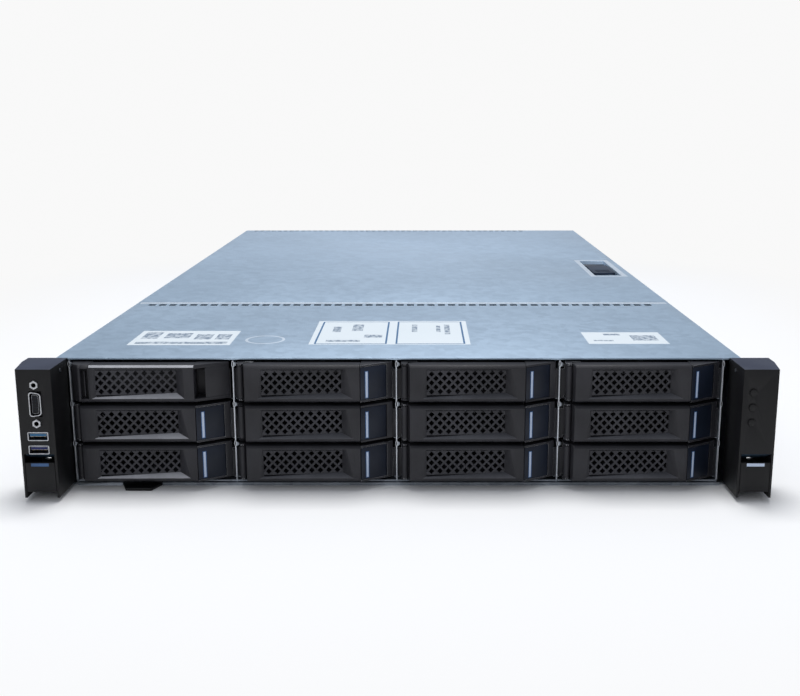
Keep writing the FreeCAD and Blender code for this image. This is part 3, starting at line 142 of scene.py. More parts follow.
def edges(node):
    """The lowest and highest corner of a node, in bench measures."""
    return [Vector((corner[0] / MM, corner[1] / MM - FRONT, corner[2] / MM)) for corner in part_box(node)]


AXES = {"x": (1, 2, 0), "y": (0, 2, 1), "z": (0, 1, 2)}


def lay(point, depth, axis):
    """Stand a flat point up at a depth along an axis."""
    place = [0.0, 0.0, 0.0]
    for where, length in zip(AXES[axis], (*point, depth)):
        place[where] = length
    return place


def rectangle(left, right, low, high):
    return [(left, low), (right, low), (right, high), (left, high)]


def circle(across, up, radius, steps=24, turn=0.0):
    angles = [turn + 2 * math.pi * step / steps for step in range(steps)]
    return [(across + radius * math.cos(angle), up + radius * math.sin(angle)) for angle in angles]


def rounded(left, right, low, high, radius, steps=4):
    """A rectangle with round corners."""
    points = []
    corners = [(right - radius, high - radius, 0), (left + radius, high - radius, 1),
               (left + radius, low + radius, 2), (right - radius, low + radius, 3)]
    for across, up, quarter in corners:
        for step in range(steps + 1):
            angle = math.pi / 2 * (quarter + step / steps)
            points.append((across + radius * math.cos(angle), up + radius * math.sin(angle)))
    return points


print("chassis front at", FRONT, "mm")

# %% [markdown]
# ## Finishes
# Every finish starts from the same board: a principled surface, the piece's own
# coordinates, and a few kinds of grain. Colour, gloss and a fine bump then vary
# together, the way dust, rolling marks and moulding texture do.

# %% A board for mixing finishes


def shade(red, green, blue):
    """A screen colour, 0 to 255, as the linear colour that a shader wants."""
    linear = []
    for part in (red, green, blue):
        part = part / 255
        linear.append(part / 12.92 if part <= 0.04045 else ((part + 0.055) / 1.055) ** 2.4)
    return (*linear, 1.0)


class Finish:
    """A material being mixed."""

    def __init__(self, name):
        self.material = bpy.data.materials.new(name)
        self.material.use_nodes = True
        self.tree = self.material.node_tree
        self.tree.nodes.clear()
        self.surface = self.tree.nodes.new("ShaderNodeBsdfPrincipled")
        self.output = self.tree.nodes.new("ShaderNodeOutputMaterial")
        self.tree.links.new(self.surface.outputs[0], self.output.inputs["Surface"])
        self.spot = self.node("ShaderNodeTexCoord", out="Object")
        self.x = self.node("ShaderNodeSeparateXYZ", {0: self.spot}, out=0)
        self.y = self.node("ShaderNodeSeparateXYZ", {0: self.spot}, out=1)
        self.z = self.node("ShaderNodeSeparateXYZ", {0: self.spot}, out=2)

    def node(self, kind, values=(), settings=None, out=0):
        return add_node(self.tree, kind, values, settings, out)

    def stretched(self, stretch):
        values = {0: self.spot, 1: stretch}
        return self.node("ShaderNodeVectorMath", values, {"operation": "MULTIPLY"})

    def noise(self, grain, stretch=(1, 1, 1), detail=3.0):
        """Cloudy noise whose lumps are about `grain` metres across."""
        values = {"Vector": self.stretched(stretch), "Scale": 1 / grain, "Detail": detail}
        return self.node("ShaderNodeTexNoise", values, out=0)

    def cells(self, grain):
        """Crystal-like cells about `grain` metres across, each with its own tint."""
        values = {"Vector": self.stretched((1, 1, 1)), "Scale": 1 / grain}
        flower = self.node("ShaderNodeTexVoronoi", values, out="Color")
        return self.node("ShaderNodeSeparateColor", {0: flower}, out=0)

    def mix(self, amount, first, second):
        """One colour turning into another."""
        values = {0: amount, 6: first, 7: second}
        return self.node("ShaderNodeMix", values, {"data_type": "RGBA"}, out=2)

    def bump(self, height, depth, strength):
        values = {"Height": height, "Distance": depth, "Strength": strength}
        return self.node("ShaderNodeBump", values)

    def set(self, **inputs):
        for name, value in inputs.items():
            feed(self.tree, self.surface.inputs[name.replace("_", " ")], value)
        return self.material


# How much plastic mirrors, and how deep its texture and a sheet's are, in metres.
SHINE = 0.3
MOULD_DEPTH = 0.00003
SHEET_DEPTH = 0.00001


def moulded(name, colour, pale, rough):
    """Moulded plastic: a fine spark-eroded texture, with faint cloudy wear."""
    board = Finish(name)
    wear = board.noise(0.03, detail=5.0)
    texture = board.noise(0.0006, detail=2.0)
    scuffs = board.noise(0.004, (1, 1, 0.15)).ramp(0.62, 0.75)
    tone = wear.ramp(0.35, 0.75) * 0.6 + texture * 0.25 + scuffs * 0.15
    gloss = rough + wear * 0.12 - scuffs * 0.08 + texture * 0.06
    return board.set(Base_Color=board.mix(tone, colour, pale), Roughness=gloss, Specular_IOR_Level=SHINE,
                     Normal=board.bump(texture + wear * 0.4, MOULD_DEPTH, 0.6))


def rolled(name, colour, pale, rough, metal=1.0):
    """Rolled sheet metal: long faint streaks along the rolling direction."""
    board = Finish(name)
    streaks = board.noise(0.006, (6, 0.5, 6), 4.0)
    cloud = board.noise(0.09, detail=3.0)
    grain = board.noise(0.0012, detail=1.0)
    tone = streaks * 0.45 + cloud * 0.4 + grain * 0.15
    gloss = rough + cloud * 0.1 + streaks * 0.08 - grain * 0.03
    return board.set(Base_Color=board.mix(tone.ramp(0.3, 0.7), colour, pale), Roughness=gloss,
                     Metallic=metal, Normal=board.bump(streaks + grain * 0.5, SHEET_DEPTH, 0.5))


def galvanised(name, colour, pale):
    """Zinc-coated sheet: overlapping crystals, each with its own gloss."""
    board = Finish(name)
    tint = board.cells(0.006)
    fine = board.noise(0.0015, detail=2.0)
    cloud = board.noise(0.12)
    tone = tint * 0.5 + fine * 0.2 + cloud * 0.3
    return board.set(Base_Color=board.mix(tone, colour, pale), Metallic=1.0,
                     Roughness=0.4 + tint * 0.12 + cloud * 0.08,
                     Normal=board.bump(tint * 0.4 + fine, SHEET_DEPTH, 0.4))


print("finishing board ready")

# %% [markdown]
# The frame names a slot for every piece, and each slot gets a finish here. The
# covers' paper labels are part of their finish.

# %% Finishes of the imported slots
finishes = {
    "zinc_steel": galvanised("galvanised_steel", shade(120, 126, 134), shade(176, 182, 190)),
    "black_plastic": moulded("ear_plastic", shade(9, 9, 11), shade(18, 18, 21), 0.42),
    "tray_plastic": moulded("tray_plastic", shade(33, 33, 37), shade(50, 50, 55), 0.38),
    "button_plastic": moulded("button_plastic", shade(16, 22, 34), shade(26, 34, 50), 0.34),
    "drive_metal": rolled("drive_metal", shade(150, 152, 155), shade(190, 192, 196), 0.38),
    "circuit_board": moulded("circuit_board", shade(18, 56, 40), shade(32, 84, 58), 0.34),
    "bare_aluminium": rolled("bare_aluminium", shade(188, 190, 194), shade(220, 222, 226), 0.3),
    "connector_metal": rolled("connector_metal", shade(150, 152, 156), shade(206, 208, 212), 0.26),
    "fan_plastic": moulded("fan_plastic", shade(20, 20, 22), shade(36, 36, 40), 0.38),
    "supply_case": rolled("supply_case", shade(128, 132, 138), shade(168, 172, 178), 0.4),
}


# A cover's top lies above this level, in metres.
COVER_TOP = 0.0868


def patch(board, left, right, near, far):
    """1 on a rectangle of the cover's top, in bench measures, and 0 off it."""
    across = between(board.x, left * MM, right * MM)
    along = between(board.y, (near + FRONT) * MM, (far + FRONT) * MM)
    return across * along * board.z.above(COVER_TOP, 0.00005)


def frame_of(board, left, right, near, far, line):
    """A printed outline."""
    hole = patch(board, left + line, right - line, near + line, far - line)
    return patch(board, left, right, near, far) - hole


# What is printed on the cover, and where a highlight is painted along its hem and round its latch: left,
# right, near and far edges on the bench.
LABELS = [(-188, -117, 39, 88), (-63, 49, 41, 126), (131, 187, 43, 83)]
PANELS = [(-59.5, -9, 43, 123), (-3, 45.5, 43, 123)]
HEM_HIGHLIGHT = (-221, 221, 202.6, 209.7)
LATCH_RIM_HIGHLIGHT = (181.5, 217.5, 356, 476)
GREY_BARS = [(-184, -172, 60, 84), (-168, -150, 62, 80), (-146, -134, 58, 76), (-131, -121, 58, 76),
             (-184, -120, 43, 50), (-50, -44, 84, 104), (-36, -28, 88, 112), (-52, -28, 50, 56),
             (-26, -13, 64, 74), (8, 12, 84, 112), (26, 29, 84, 108), (32, 36, 76, 112),
             (146, 158, 72, 78), (164, 182, 54, 72), (136, 150, 52, 56)]
# A round mark: centre across, centre along and radius.
RING = (-95, 57, 14)
COVER_DARK = shade(156, 177, 196)
COVER_PALE = shade(198, 218, 238)


def printed_cover():
    """Pre-coated steel, with paper labels that carry plain frames and bars."""
    board = Finish("cover_steel")
    tint = board.cells(0.006)
    cloud = board.noise(0.14, detail=3.0)
    fine = board.noise(0.0016, (1, 0.4, 1), detail=2.0)
    tone = tint * 0.22 + cloud * 0.5 + fine * 0.28
    # Painted sheen: the steel is paler along the middle and towards the rear, on top of its random tone.
    edge = board.x.math("ABSOLUTE").ramp(0.0, 0.24)
    depth = board.y.ramp(-0.25, 0.3)
    steel = board.mix(tone.ramp(0.2, 0.8) * 0.3 + (1 - edge) * 0.25 + depth * 0.45, COVER_DARK, COVER_PALE)
    paper = sum(patch(board, *label) for label in LABELS)
    blue = sum(frame_of(board, *panel, 1.3) for panel in PANELS)
    grey = sum(patch(board, *bar) for bar in GREY_BARS)
    across = board.x * (1 / MM) - RING[0]
    along = board.y * (1 / MM) - (RING[1] + FRONT)
    reach = (across * across + along * along).math("SQRT")
    ring = between(reach, RING[2] - 2.0, RING[2], 0.2)
    # Painted highlights along the hem and round the latch, together with the printed ring.
    rim = patch(board, *HEM_HIGHLIGHT) + frame_of(board, *LATCH_RIM_HIGHLIGHT, 5.0) + ring
    smudge = board.noise(0.003, (1, 0.5, 1)).ramp(0.42, 0.6)
    colour = board.mix(paper, steel, board.mix(cloud, shade(212, 222, 228), shade(224, 232, 238)))
    colour = board.mix(blue, colour, shade(70, 110, 150))
    colour = board.mix(grey * (0.35 + smudge * 0.5), colour, shade(96, 116, 140))
    colour = board.mix(rim * 0.75, colour, shade(226, 236, 246))
    gloss = 0.4 + tint * 0.06 + cloud * 0.1 + paper * 0.18
    return board.set(Base_Color=colour, Metallic=0.62 - paper * 0.62, Roughness=gloss,
                     Normal=board.bump(tint * 0.3 + fine * 0.7 + paper * 2.0, SHEET_DEPTH, 0.35))


finishes["cover_steel"] = printed_cover()
# A paler copy of the tray plastic: painted sheen on the pierced sheet and the posts.
finishes["mesh_plastic_painted_sheen"] = moulded("mesh_plastic_painted_sheen", shade(40, 40, 45), shade(62, 62, 68), 0.36)
finishes["ear_top_painted_sheen"] = moulded("ear_top_painted_sheen", shade(42, 48, 66), shade(60, 67, 84), 0.42)
# Paler copies of the tray plastic: painted highlights on facets that face up.
finishes["facet_painted_highlight"] = moulded("facet_painted_highlight", shade(70, 71, 76), shade(94, 95, 100), 0.32)
finishes["bright_facet_painted_highlight"] = moulded("bright_facet_painted_highlight", shade(148, 149, 154), shade(190, 191, 196), 0.32)
finishes["slate_painted_sheen"] = moulded("slate_painted_sheen", shade(30, 44, 58), shade(46, 66, 82), 0.4)
finishes["latch_plastic"] = moulded("latch_plastic", shade(34, 44, 58), shade(58, 70, 88), 0.34)
# Near-black plastic, used also as painted shade in hollows, slots and behind sheets.
finishes["dark_plastic_and_painted_shade"] = moulded("dark_plastic_and_painted_shade", shade(10, 10, 14), shade(20, 21, 26), 0.6)
finishes["stripe_pale"] = moulded("stripe_pale", shade(176, 190, 212), shade(200, 212, 230), 0.4)
finishes["stripe_edge"] = moulded("stripe_edge", shade(40, 78, 126), shade(60, 104, 158), 0.4)
finishes["stripe_blue"] = moulded("stripe_blue", shade(48, 76, 116), shade(74, 108, 152), 0.4)
finishes["usb_blue"] = moulded("usb_blue", shade(18, 24, 72), shade(30, 40, 104), 0.4)
finishes["usb_light"] = moulded("usb_light", shade(34, 84, 122), shade(56, 116, 154), 0.4)
finishes["pin_gold"] = rolled("pin_gold", shade(170, 140, 70), shade(214, 184, 110), 0.3)
finishes["loop_metal_painted_highlight"] = rolled("loop_metal_painted_highlight", shade(190, 194, 200), shade(220, 224, 230), 0.34, 0.7)
print("finishes mixed:", len(finishes))

# %% [markdown]
# A workpiece gathers shapes into one mesh and rounds their edges. At the end it
# becomes a piece that rides on a body.

# %% A workpiece


class Work:
    """Shapes gathered into one mesh, each with its own finish."""

    def __init__(self):
        self.mesh = bmesh.new()
        self.finishes = []

    def number(self, finish):
        if finish not in self.finishes:
            self.finishes.append(finish)
        return self.finishes.index(finish)

    def skin(self, rows, finish, closed=False, soft=0.0):
        """Skin a row of outlines. A closed row runs back into its first outline."""
        rows = [[self.mesh.verts.new(point) for point in row] for row in rows]
        pairs = list(zip(rows, rows[1:]))
        if closed:
            pairs.append((rows[-1], rows[0]))
        faces = []
        for near, far in pairs:
            for index in range(len(near)):
                after = (index + 1) % len(near)
                faces.append(self.mesh.faces.new((near[index], near[after], far[after], far[index])))
        if not closed:
            faces.append(self.mesh.faces.new(rows[0][::-1]))
            faces.append(self.mesh.faces.new(rows[-1]))
        number = self.number(finish)
        for face in faces:
            face.material_index = number
        bmesh.ops.recalc_face_normals(self.mesh, faces=faces)
        if soft:
            self.soften(faces, soft)

    def soften(self, faces, width):
        """Round the sharp edges of some faces."""
        sharp = {edge for face in faces for edge in face.edges if edge.is_manifold}
        sharp = [edge for edge in sharp if edge.calc_face_angle(0) > SHARP]
        bmesh.ops.bevel(self.mesh, geom=sharp, offset=width, segments=2, profile=0.5,
                        affect="EDGES", clamp_overlap=True)

    def prism(self, outline, start, end, finish, axis="y", soft=0.0):
        """Push an outline along an axis."""
        rows = [[lay(point, depth, axis) for point in outline] for depth in (start, end)]
        self.skin(rows, finish, soft=soft)

    def block(self, low, high, finish, soft=0.0):
        outline = rectangle(low[0], high[0], low[2], high[2])
        self.prism(outline, low[1], high[1], finish, soft=soft)

    def ring(self, outer, inner, start, end, finish, axis="y", soft=0.0):
        """A plate or a tube: an outline with a hole, pushed along an axis."""
        rows = [(outer, start), (outer, end), (inner, end), (inner, start)]
        rows = [[lay(point, depth, axis) for point in outline] for outline, depth in rows]
        self.skin(rows, finish, closed=True, soft=soft)

    def take(self, source, finish, place):
        """Add a finished mesh, in bench measures."""
        extra = bmesh.new()
        extra.from_mesh(source)
        number = self.number(finish)
        for face in extra.faces:
            face.material_index = number
        extra.transform(place)
        spare = bpy.data.meshes.new("spare")
        extra.to_mesh(spare)
        extra.free()
        self.mesh.from_mesh(spare)
        bpy.data.meshes.remove(spare)

    def piece(self, name, body, slot, nodes=()):
        """Make the object: it rides on a body and may stand for CAD nodes."""
        self.mesh.transform(TO_METRES)
        mesh = bpy.data.meshes.new(name)
        self.mesh.to_mesh(mesh)
        self.mesh.free()
        for finish in self.finishes:
            mesh.materials.append(finishes[finish])
        mesh.shade_smooth()
        mesh.set_sharp_from_angle(angle=SHARP)
        made = bpy.data.objects.new(name, mesh)
        bpy.context.scene.collection.objects.link(made)
        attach(made, body)
        if nodes:
            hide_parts(*nodes)
        return made


SHARP = math.radians(30)
BODY_OF = {}
for body, members in frame["record"]["behaviour"]["bodies"].items():
    for node in members:
        BODY_OF[node] = body
SLOT_OF = {part["node"]: part["material_slot"] for part in frame["record"]["subparts"]}
print("bodies:", len(set(BODY_OF.values())))

# %% [markdown]
# ## Softened frame
# Folded sheet and moulded plastic have no knife edges: every corner has a small
# radius that catches a line of light. Each node is copied, its loose triangles
# are merged back into whole faces, and its sharp edges are rounded.

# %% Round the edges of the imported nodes


# Faces that meet at less than this angle are one flat face.
FLAT = math.radians(0.6)
# Where a tray's moulded corner ends, how far in it is painted dark as shade, and how far from its
# left side its post starts.
CORNER_DEPTH = 4.0
DARK_DEPTH = 30.0
POST = 98.9


def mould_front(work, left):
    """A carrier's front corner is moulded plastic, and what lies behind the mesh is painted dark as shade.
    """
    plastic = work.number("tray_plastic")
    dark = work.number("dark_plastic_and_painted_shade")
    post = work.number("mesh_plastic_painted_sheen")
    for face in work.mesh.faces:
        middle = face.calc_center_median()
        if middle.y < CORNER_DEPTH:
            # Painted highlight: the post's front gets the paler mesh plastic.
            on_post = middle.x > left + POST and face.normal.y < -0.4
            face.material_index = post if on_post else plastic
        elif middle.y < DARK_DEPTH and abs(face.normal.y) > 0.5:
            face.material_index = dark


# How far in the rear connectors reach, and the level that they stand above.
SOCKET_DEPTH = 22
BOARD_TOP = 8.2


def plate_connectors(work):
    """The board's rear connectors have bright shells, and their sockets are painted dark inside as shade."""
    rear = max(vertex.co.y for vertex in work.mesh.verts)
    for face in work.mesh.faces:
        middle = face.calc_center_median()
        if middle.y > rear - SOCKET_DEPTH and middle.z > BOARD_TOP:
            shell = middle.y > rear - 0.6 or abs(face.normal.z) + abs(face.normal.x) < 0.1
            face.material_index = work.number("connector_metal" if shell else "dark_plastic_and_painted_shade")


def softened(node, width, finish=None, name=None):
    """A copy of a node with rounded edges, which stands for it."""
    work = Work()
    work.mesh.from_mesh(frame["nodes"][node].data)
    work.mesh.transform(TO_METRES.inverted())
    bmesh.ops.remove_doubles(work.mesh, verts=work.mesh.verts, dist=0.001)
    bmesh.ops.dissolve_limit(work.mesh, angle_limit=FLAT, verts=work.mesh.verts, edges=work.mesh.edges)
    number = work.number(finish or SLOT_OF[node])
    for face in work.mesh.faces:
        face.material_index = number
    if node.startswith("drive_tray"):
        mould_front(work, edges(node)[0].x + 0.6)
    # Painted sheen: the ears' upward faces get a paler, bluish plastic.
    if node.endswith("_ear"):
        for face in work.mesh.faces:
            if face.normal.z > 0.9 and face.calc_center_median().z > 80:
                face.material_index = work.number("ear_top_painted_sheen")
    if node == "motherboard":
        plate_connectors(work)
    work.soften(work.mesh.faces, width)
    return work.piece(name or node + "_soft", BODY_OF[node], SLOT_OF[node], [node])


for node, shape in frame["nodes"].items():
    shape.data.materials[0] = finishes[SLOT_OF[node]]

SHEET_EDGE = 0.2
MOULDED_EDGE = 0.45
EAR_EDGE = 0.7
for node in ("left_ear", "right_ear"):
    softened(node, EAR_EDGE)
for node in ("left_ear_latch", "right_ear_latch", "power_button", "identify_button", "reset_button",
             "pull_out_tag"):
    softened(node, MOULDED_EDGE)
for node in frame["nodes"]:
    if node.startswith(("drive_tray", "release_button")):
        softened(node, SHEET_EDGE)
for node in ("chassis_base", "drive_cage", "motherboard", "psu_1", "psu_2"):
    softened(node, SHEET_EDGE)
print("softened nodes ready")

# %% [markdown]
# ## The pierced sheet
# Behind each tray's front lies a thin sheet pierced with diamonds: ten in one
# row, nine in the next, set half a step across, five rows in all. A real one
# is punched. Here a small rule lays lozenge tiles on a staggered grid, pierced
# ones in the middle and plain ones round them, and the sheet is trimmed after.

# %% Two lozenge tiles
# Steps across and up, the sheet's thickness, the hole's share of a tile, and
# the chamfer's depth.
PITCH = 5.6
RISE = 2.92
SHEET = 1.0
HOLE = 0.66
LIP = 0.28


def lozenge(share, depth):
    """The four corners of a tile's outline, drawn in to a share of its size."""
    across = PITCH / 2 * share
    up = RISE * share
    return [(across, depth, 0), (0, depth, up), (-across, depth, 0), (0, depth, -up)]


def make_tile(name, rows, closed):
    work = Work()
    work.skin(rows, "tray_plastic", closed=closed)
    mesh = bpy.data.meshes.new(name)
    work.mesh.to_mesh(mesh)
    work.mesh.free()
    return bpy.data.objects.new(name, mesh)


pierced = [lozenge(1, SHEET), lozenge(1, 0), lozenge(0.84, 0.1), lozenge(HOLE, LIP), lozenge(HOLE, SHEET)]
pierced_tile = make_tile("pierced_tile", pierced, True)
plain_tile = make_tile("plain_tile", [lozenge(1, SHEET), lozenge(1, 0)], False)
print("tiles ready")

# %% [markdown]
# The rule works like a punch: row by row, every other row half a step across,
# with a hole only where the sheet is to have one.

# %% The rule that lays the tiles


class Rule:
    """A geometry tree being written, with its inputs named as they are added."""

    def __init__(self, name):
        self.tree = bpy.data.node_groups.new(name, "GeometryNodeTree")
        self.tree.interface.new_socket("Geometry", in_out="OUTPUT", socket_type="NodeSocketGeometry")
        self.inputs = self.tree.nodes.new("NodeGroupInput")
        self.keys = {}

    def ask(self, name, kind):
        """A named input of the rule."""
        socket = self.tree.interface.new_socket(name, in_out="INPUT", socket_type="NodeSocket" + kind)
        self.keys[name] = socket.identifier
        return Signal(self.tree, self.inputs.outputs[name])

    def node(self, kind, values=(), settings=None, out=0):
        return add_node(self.tree, kind, values, settings, out)

    def give(self, geometry):
        output = self.tree.nodes.new("NodeGroupOutput")
        self.tree.links.new(geometry.socket, output.inputs[0])

    def grow(self, answers):
        """Run the rule with its inputs answered, and return the mesh it makes."""
        seed = bpy.data.objects.new("seed", bpy.data.meshes.new("seed"))
        bpy.context.scene.collection.objects.link(seed)
        modifier = seed.modifiers.new("rule", "NODES")
        modifier.node_group = self.tree
        for name, answer in answers.items():
            modifier[self.keys[name]] = answer
        grown = bpy.data.meshes.new_from_object(seed.evaluated_get(bpy.context.evaluated_depsgraph_get()))
        seed.modifiers.clear()
        bpy.data.objects.remove(seed)
        return grown


def lattice_rule():
    """Tiles on a staggered grid: pierced where a row still has holes to go."""
    rule = Rule("diamond_lattice")
    columns, rows = [rule.ask(name, "Int") for name in ("Columns", "Rows")]
    pitch, rise = [rule.ask(name, "Float") for name in ("Pitch", "Rise")]
    half_width, half_height = [rule.ask(name, "Float") for name in ("Half Width", "Half Height")]
    tile = rule.ask("Pierced Tile", "Object")
    blind = rule.ask("Plain Tile", "Object")
    finish = rule.ask("Finish", "Material")
    size = {0: (columns - 1) * pitch, 1: (rows - 1) * rise, 2: columns, 3: rows}
    grid = rule.node("GeometryNodeMeshGrid", size)
    points = rule.node("GeometryNodeMeshToPoints", {0: grid})
    spot = rule.node("GeometryNodeInputPosition")
    across = rule.node("ShaderNodeSeparateXYZ", {0: spot}, out=0)
    up = rule.node("ShaderNodeSeparateXYZ", {0: spot}, out=1)
    row = (up / rise).math("ROUND")
    odd = row.math("ABSOLUTE").math("MODULO", 2.0)
    moved = across + odd * pitch * 0.5
    stand = rule.node("ShaderNodeCombineXYZ", {0: moved, 1: 0.0, 2: up})
    placed = rule.node("GeometryNodeSetPosition", {"Geometry": points, "Position": stand})
    spot_now = rule.node("GeometryNodeInputPosition")
    side = rule.node("ShaderNodeSeparateXYZ", {0: spot_now}, out=0).math("ABSOLUTE")
    height = rule.node("ShaderNodeSeparateXYZ", {0: spot_now}, out=2).math("ABSOLUTE")
    inside = side.math("LESS_THAN", half_width) * height.math("LESS_THAN", half_height)
    made = []
    for shape, chosen in ((tile, inside), (blind, 1 - inside)):
        source = rule.node("GeometryNodeObjectInfo", {"Object": shape}, out="Geometry")
        values = {"Points": placed, "Selection": chosen, "Instance": source}
        made.append(rule.node("GeometryNodeInstanceOnPoints", values))
    both = rule.tree.nodes.new("GeometryNodeJoinGeometry")
    for shape in made:
        rule.tree.links.new(shape.socket, both.inputs[0])
    whole = rule.node("GeometryNodeRealizeInstances", {0: Signal(rule.tree, both.outputs[0])})
    rule.give(rule.node("GeometryNodeSetMaterial", {"Geometry": whole, "Material": finish}))
    return rule


rule = lattice_rule()
answers = {"Columns": 15, "Rows": 11, "Pitch": PITCH, "Rise": RISE, "Half Width": 4.7 * PITCH,
           "Half Height": 2.5 * RISE, "Pierced Tile": pierced_tile, "Plain Tile": plain_tile,
           "Finish": finishes["tray_plastic"]}
lattice = rule.grow(answers)
print("lattice:", len(lattice.polygons), "faces")

# %% [markdown]
# The sheet is cut to the size of its hollow, with a little to spare on each
# side for the moulding to hold it.

# %% Trim the sheet to its hollow


def trim(mesh, sides):
    """Cut a mesh back to flat sides, each given as a point and an outward direction."""
    work = bmesh.new()
    work.from_mesh(mesh)
    bmesh.ops.remove_doubles(work, verts=work.verts, dist=0.01)
    for point, outward in sides:
        everything = [*work.verts, *work.edges, *work.faces]
        bmesh.ops.bisect_plane(work, geom=everything, plane_co=point, plane_no=outward, clear_outer=True)
    work.to_mesh(mesh)
    work.free()


# The hollow in a tray's front: its mouth, and the mouth's floor where the sheet lies.
MOUTH = {"left": 15.8, "right": 77.2, "low": -22.0, "high": -2.3, "upper_left": 17.6, "upper_right": 73.0}
FLOOR = {"left": 18.4, "right": 69.6, "low": -19.1, "high": -4.3, "shallow": -11.9, "deep": -8.2}
SLANT = (FLOOR["deep"] - FLOOR["shallow"]) / (FLOOR["right"] - FLOOR["left"])
MIDDLE = ((FLOOR["left"] + FLOOR["right"]) / 2, (FLOOR["low"] + FLOOR["high"]) / 2)
HELD = 0.8
half_across = (FLOOR["right"] - FLOOR["left"]) / 2 + HELD
half_up = (FLOOR["high"] - FLOOR["low"]) / 2 + HELD
trim(lattice, [((side * half_across, 0, 0), (side, 0, 0)) for side in (-1, 1)]
     + [((0, 0, side * half_up), (0, 0, side)) for side in (-1, 1)])


def hang_sheet(work, left, top):
    """Lean the sheet into a tray's front: shallow on the left and deep on the right."""
    lean = Matrix.Identity(4)
    lean[1][0] = SLANT
    middle = FLOOR["shallow"] + SLANT * (MIDDLE[0] - FLOOR["left"])
    place = Matrix.Translation((left + MIDDLE[0], middle, top + MIDDLE[1]))
    # The sheet is paler than its frame: a painted sheen on its strands.
    work.take(lattice, "mesh_plastic_painted_sheen", place @ lean)


print("sheet trimmed")

# %% [markdown]
# ## Tray fronts
# A tray's front is also its lever. It is one moulding: a bevelled frame, and in
# it a hollow whose floor runs deeper towards the right, so that its lower wall
# starts thin on the left and widens into a long wedge, with a highlight painted on it.

# %% Levers
# Depths of a front's face and back, its bevel, height, rounding and right end,
# and how far a lever starts inside its tray's corner.
FACE = -13.0
BACK = -2.4
BEVEL = 1.5
HEIGHT = 24.5
ROUNDING = 0.22
END = 82
INSET = 2.0
# Fronts left of this line get the paler painted highlight on their facets.
LIT_SIDE = -150
# A lever's pin: its place across and in depth, and its outer and inner radius.
PIN = (4.2, -6.4, 2.2, 1.2)


def outline(left, right, low, high, depth, depth_right=None):
    """Four corners of an upright outline, whose right side may lie deeper."""
    far = depth if depth_right is None else depth_right
    return [Vector((left, depth, low)), Vector((right, far, low)), Vector((right, far, high)),
            Vector((left, depth, high))]


def mouth_rows(upper_right=MOUTH["upper_right"], right=MOUTH["right"]):
    """From the face into the hollow: the mouth's rim, then the hollow's floor."""
    rim = [Vector((MOUTH["left"], FACE, MOUTH["low"])), Vector((right, FACE, MOUTH["low"] + 0.2)),
           Vector((upper_right, FACE, MOUTH["high"])), Vector((MOUTH["upper_left"], FACE, MOUTH["high"]))]
    sides = [FLOOR[side] for side in ("left", "right", "low", "high")]
    floor = outline(*sides, FLOOR["shallow"], FLOOR["deep"])
    floor[0].z = MOUTH["low"] + 1.0
    floor[3].z = MOUTH["high"] - 1.2
    behind = outline(*sides, BACK)
    return [rim, floor, behind]


def set_in(rows, left, top):
    """Move outlines from a tray's own corner to its bay."""
    return [[Vector((left, 0, top)) + Vector(point) for point in row] for row in rows]


def paint_facet_highlight(work, top, left, upper=False):
    """Paint a highlight on the hollow's lower wall, and on a filler's upper bevel, as a paler colour."""
    work.mesh.normal_update()
    finish = "bright_facet_painted_highlight" if left < LIT_SIDE else "facet_painted_highlight"
    for face in work.mesh.faces:
        middle = face.calc_center_median()
        lower = face.normal.z > 0.3 and middle.z < top - 15 and middle.y < -8.5
        bevel = upper and face.normal.z > 0.3 and middle.z > top - 1.4 and middle.y < FACE + BEVEL
        if lower or bevel:
            face.material_index = work.number(finish)


def make_lever(node):
    low, high = edges(node)
    left = low.x - INSET
    rows = [outline(12.2, END, -HEIGHT, 0, BACK), outline(6.4, END, -HEIGHT, 0, -4.8),
            outline(6.4, END, -HEIGHT, 0, -8.0), outline(7.3, END, -HEIGHT, 0, FACE + BEVEL),
            outline(7.6, END, BEVEL - HEIGHT, -BEVEL, FACE), *mouth_rows()]
    work = Work()
    work.skin(set_in(rows, left, high.z), "tray_plastic", closed=True)
    work.soften(work.mesh.faces, ROUNDING)
    paint_facet_highlight(work, high.z, left)
    hang_sheet(work, left, high.z)
    knuckle, bore = [circle(left + PIN[0], PIN[1], radius, 16) for radius in PIN[2:]]
    work.ring(knuckle, bore, high.z - HEIGHT + 1.6, high.z - 1.6, "tray_plastic", "z")
    work.piece(node + "_front", BODY_OF[node], "tray_plastic", [node])


levers = [node for node in frame["nodes"] if node.startswith("tray_lever")]
for node in levers:
    make_lever(node)
print("levers:", len(levers))

# %% [markdown]
# The release plate beside each lever slopes back to the bay's edge. A pale
# stripe with blue borders runs down its near side.

# %% Stripes on the release plates
STRIPE = {"left": 2.9, "width": 2.1, "rise": 18.0, "drop": 0.9, "border": 0.4, "proud": 0.12}
# How far a release plate falls back for each millimetre to the right.
SLOPE = 12.4 / 20.6


def make_stripe(node):
    low, high = edges(node)
    middle = (low.z + high.z) / 2 - STRIPE["drop"]
    work = Work()
    layers = [(0.0, "stripe_edge", STRIPE["proud"] / 2), (STRIPE["border"], "stripe_pale", STRIPE["proud"])]
    for inset, finish, proud in layers:
        near = STRIPE["left"] + inset
        far = STRIPE["left"] + STRIPE["width"] - inset
        half = STRIPE["rise"] / 2 - inset
        corners = [(low.x + near, low.y + near * SLOPE), (low.x + far, low.y + far * SLOPE)]
        pad = [(corners[0][0], corners[0][1] - proud), (corners[1][0], corners[1][1] - proud),
               (corners[1][0], corners[1][1] + 0.3), (corners[0][0], corners[0][1] + 0.3)]
        work.prism(pad, middle - half, middle + half, finish, "z")
    work.piece(node + "_stripe", BODY_OF[node], SLOT_OF[node])


for node in frame["nodes"]:
    if node.startswith("release_button"):
        make_stripe(node)
print("stripes ready")

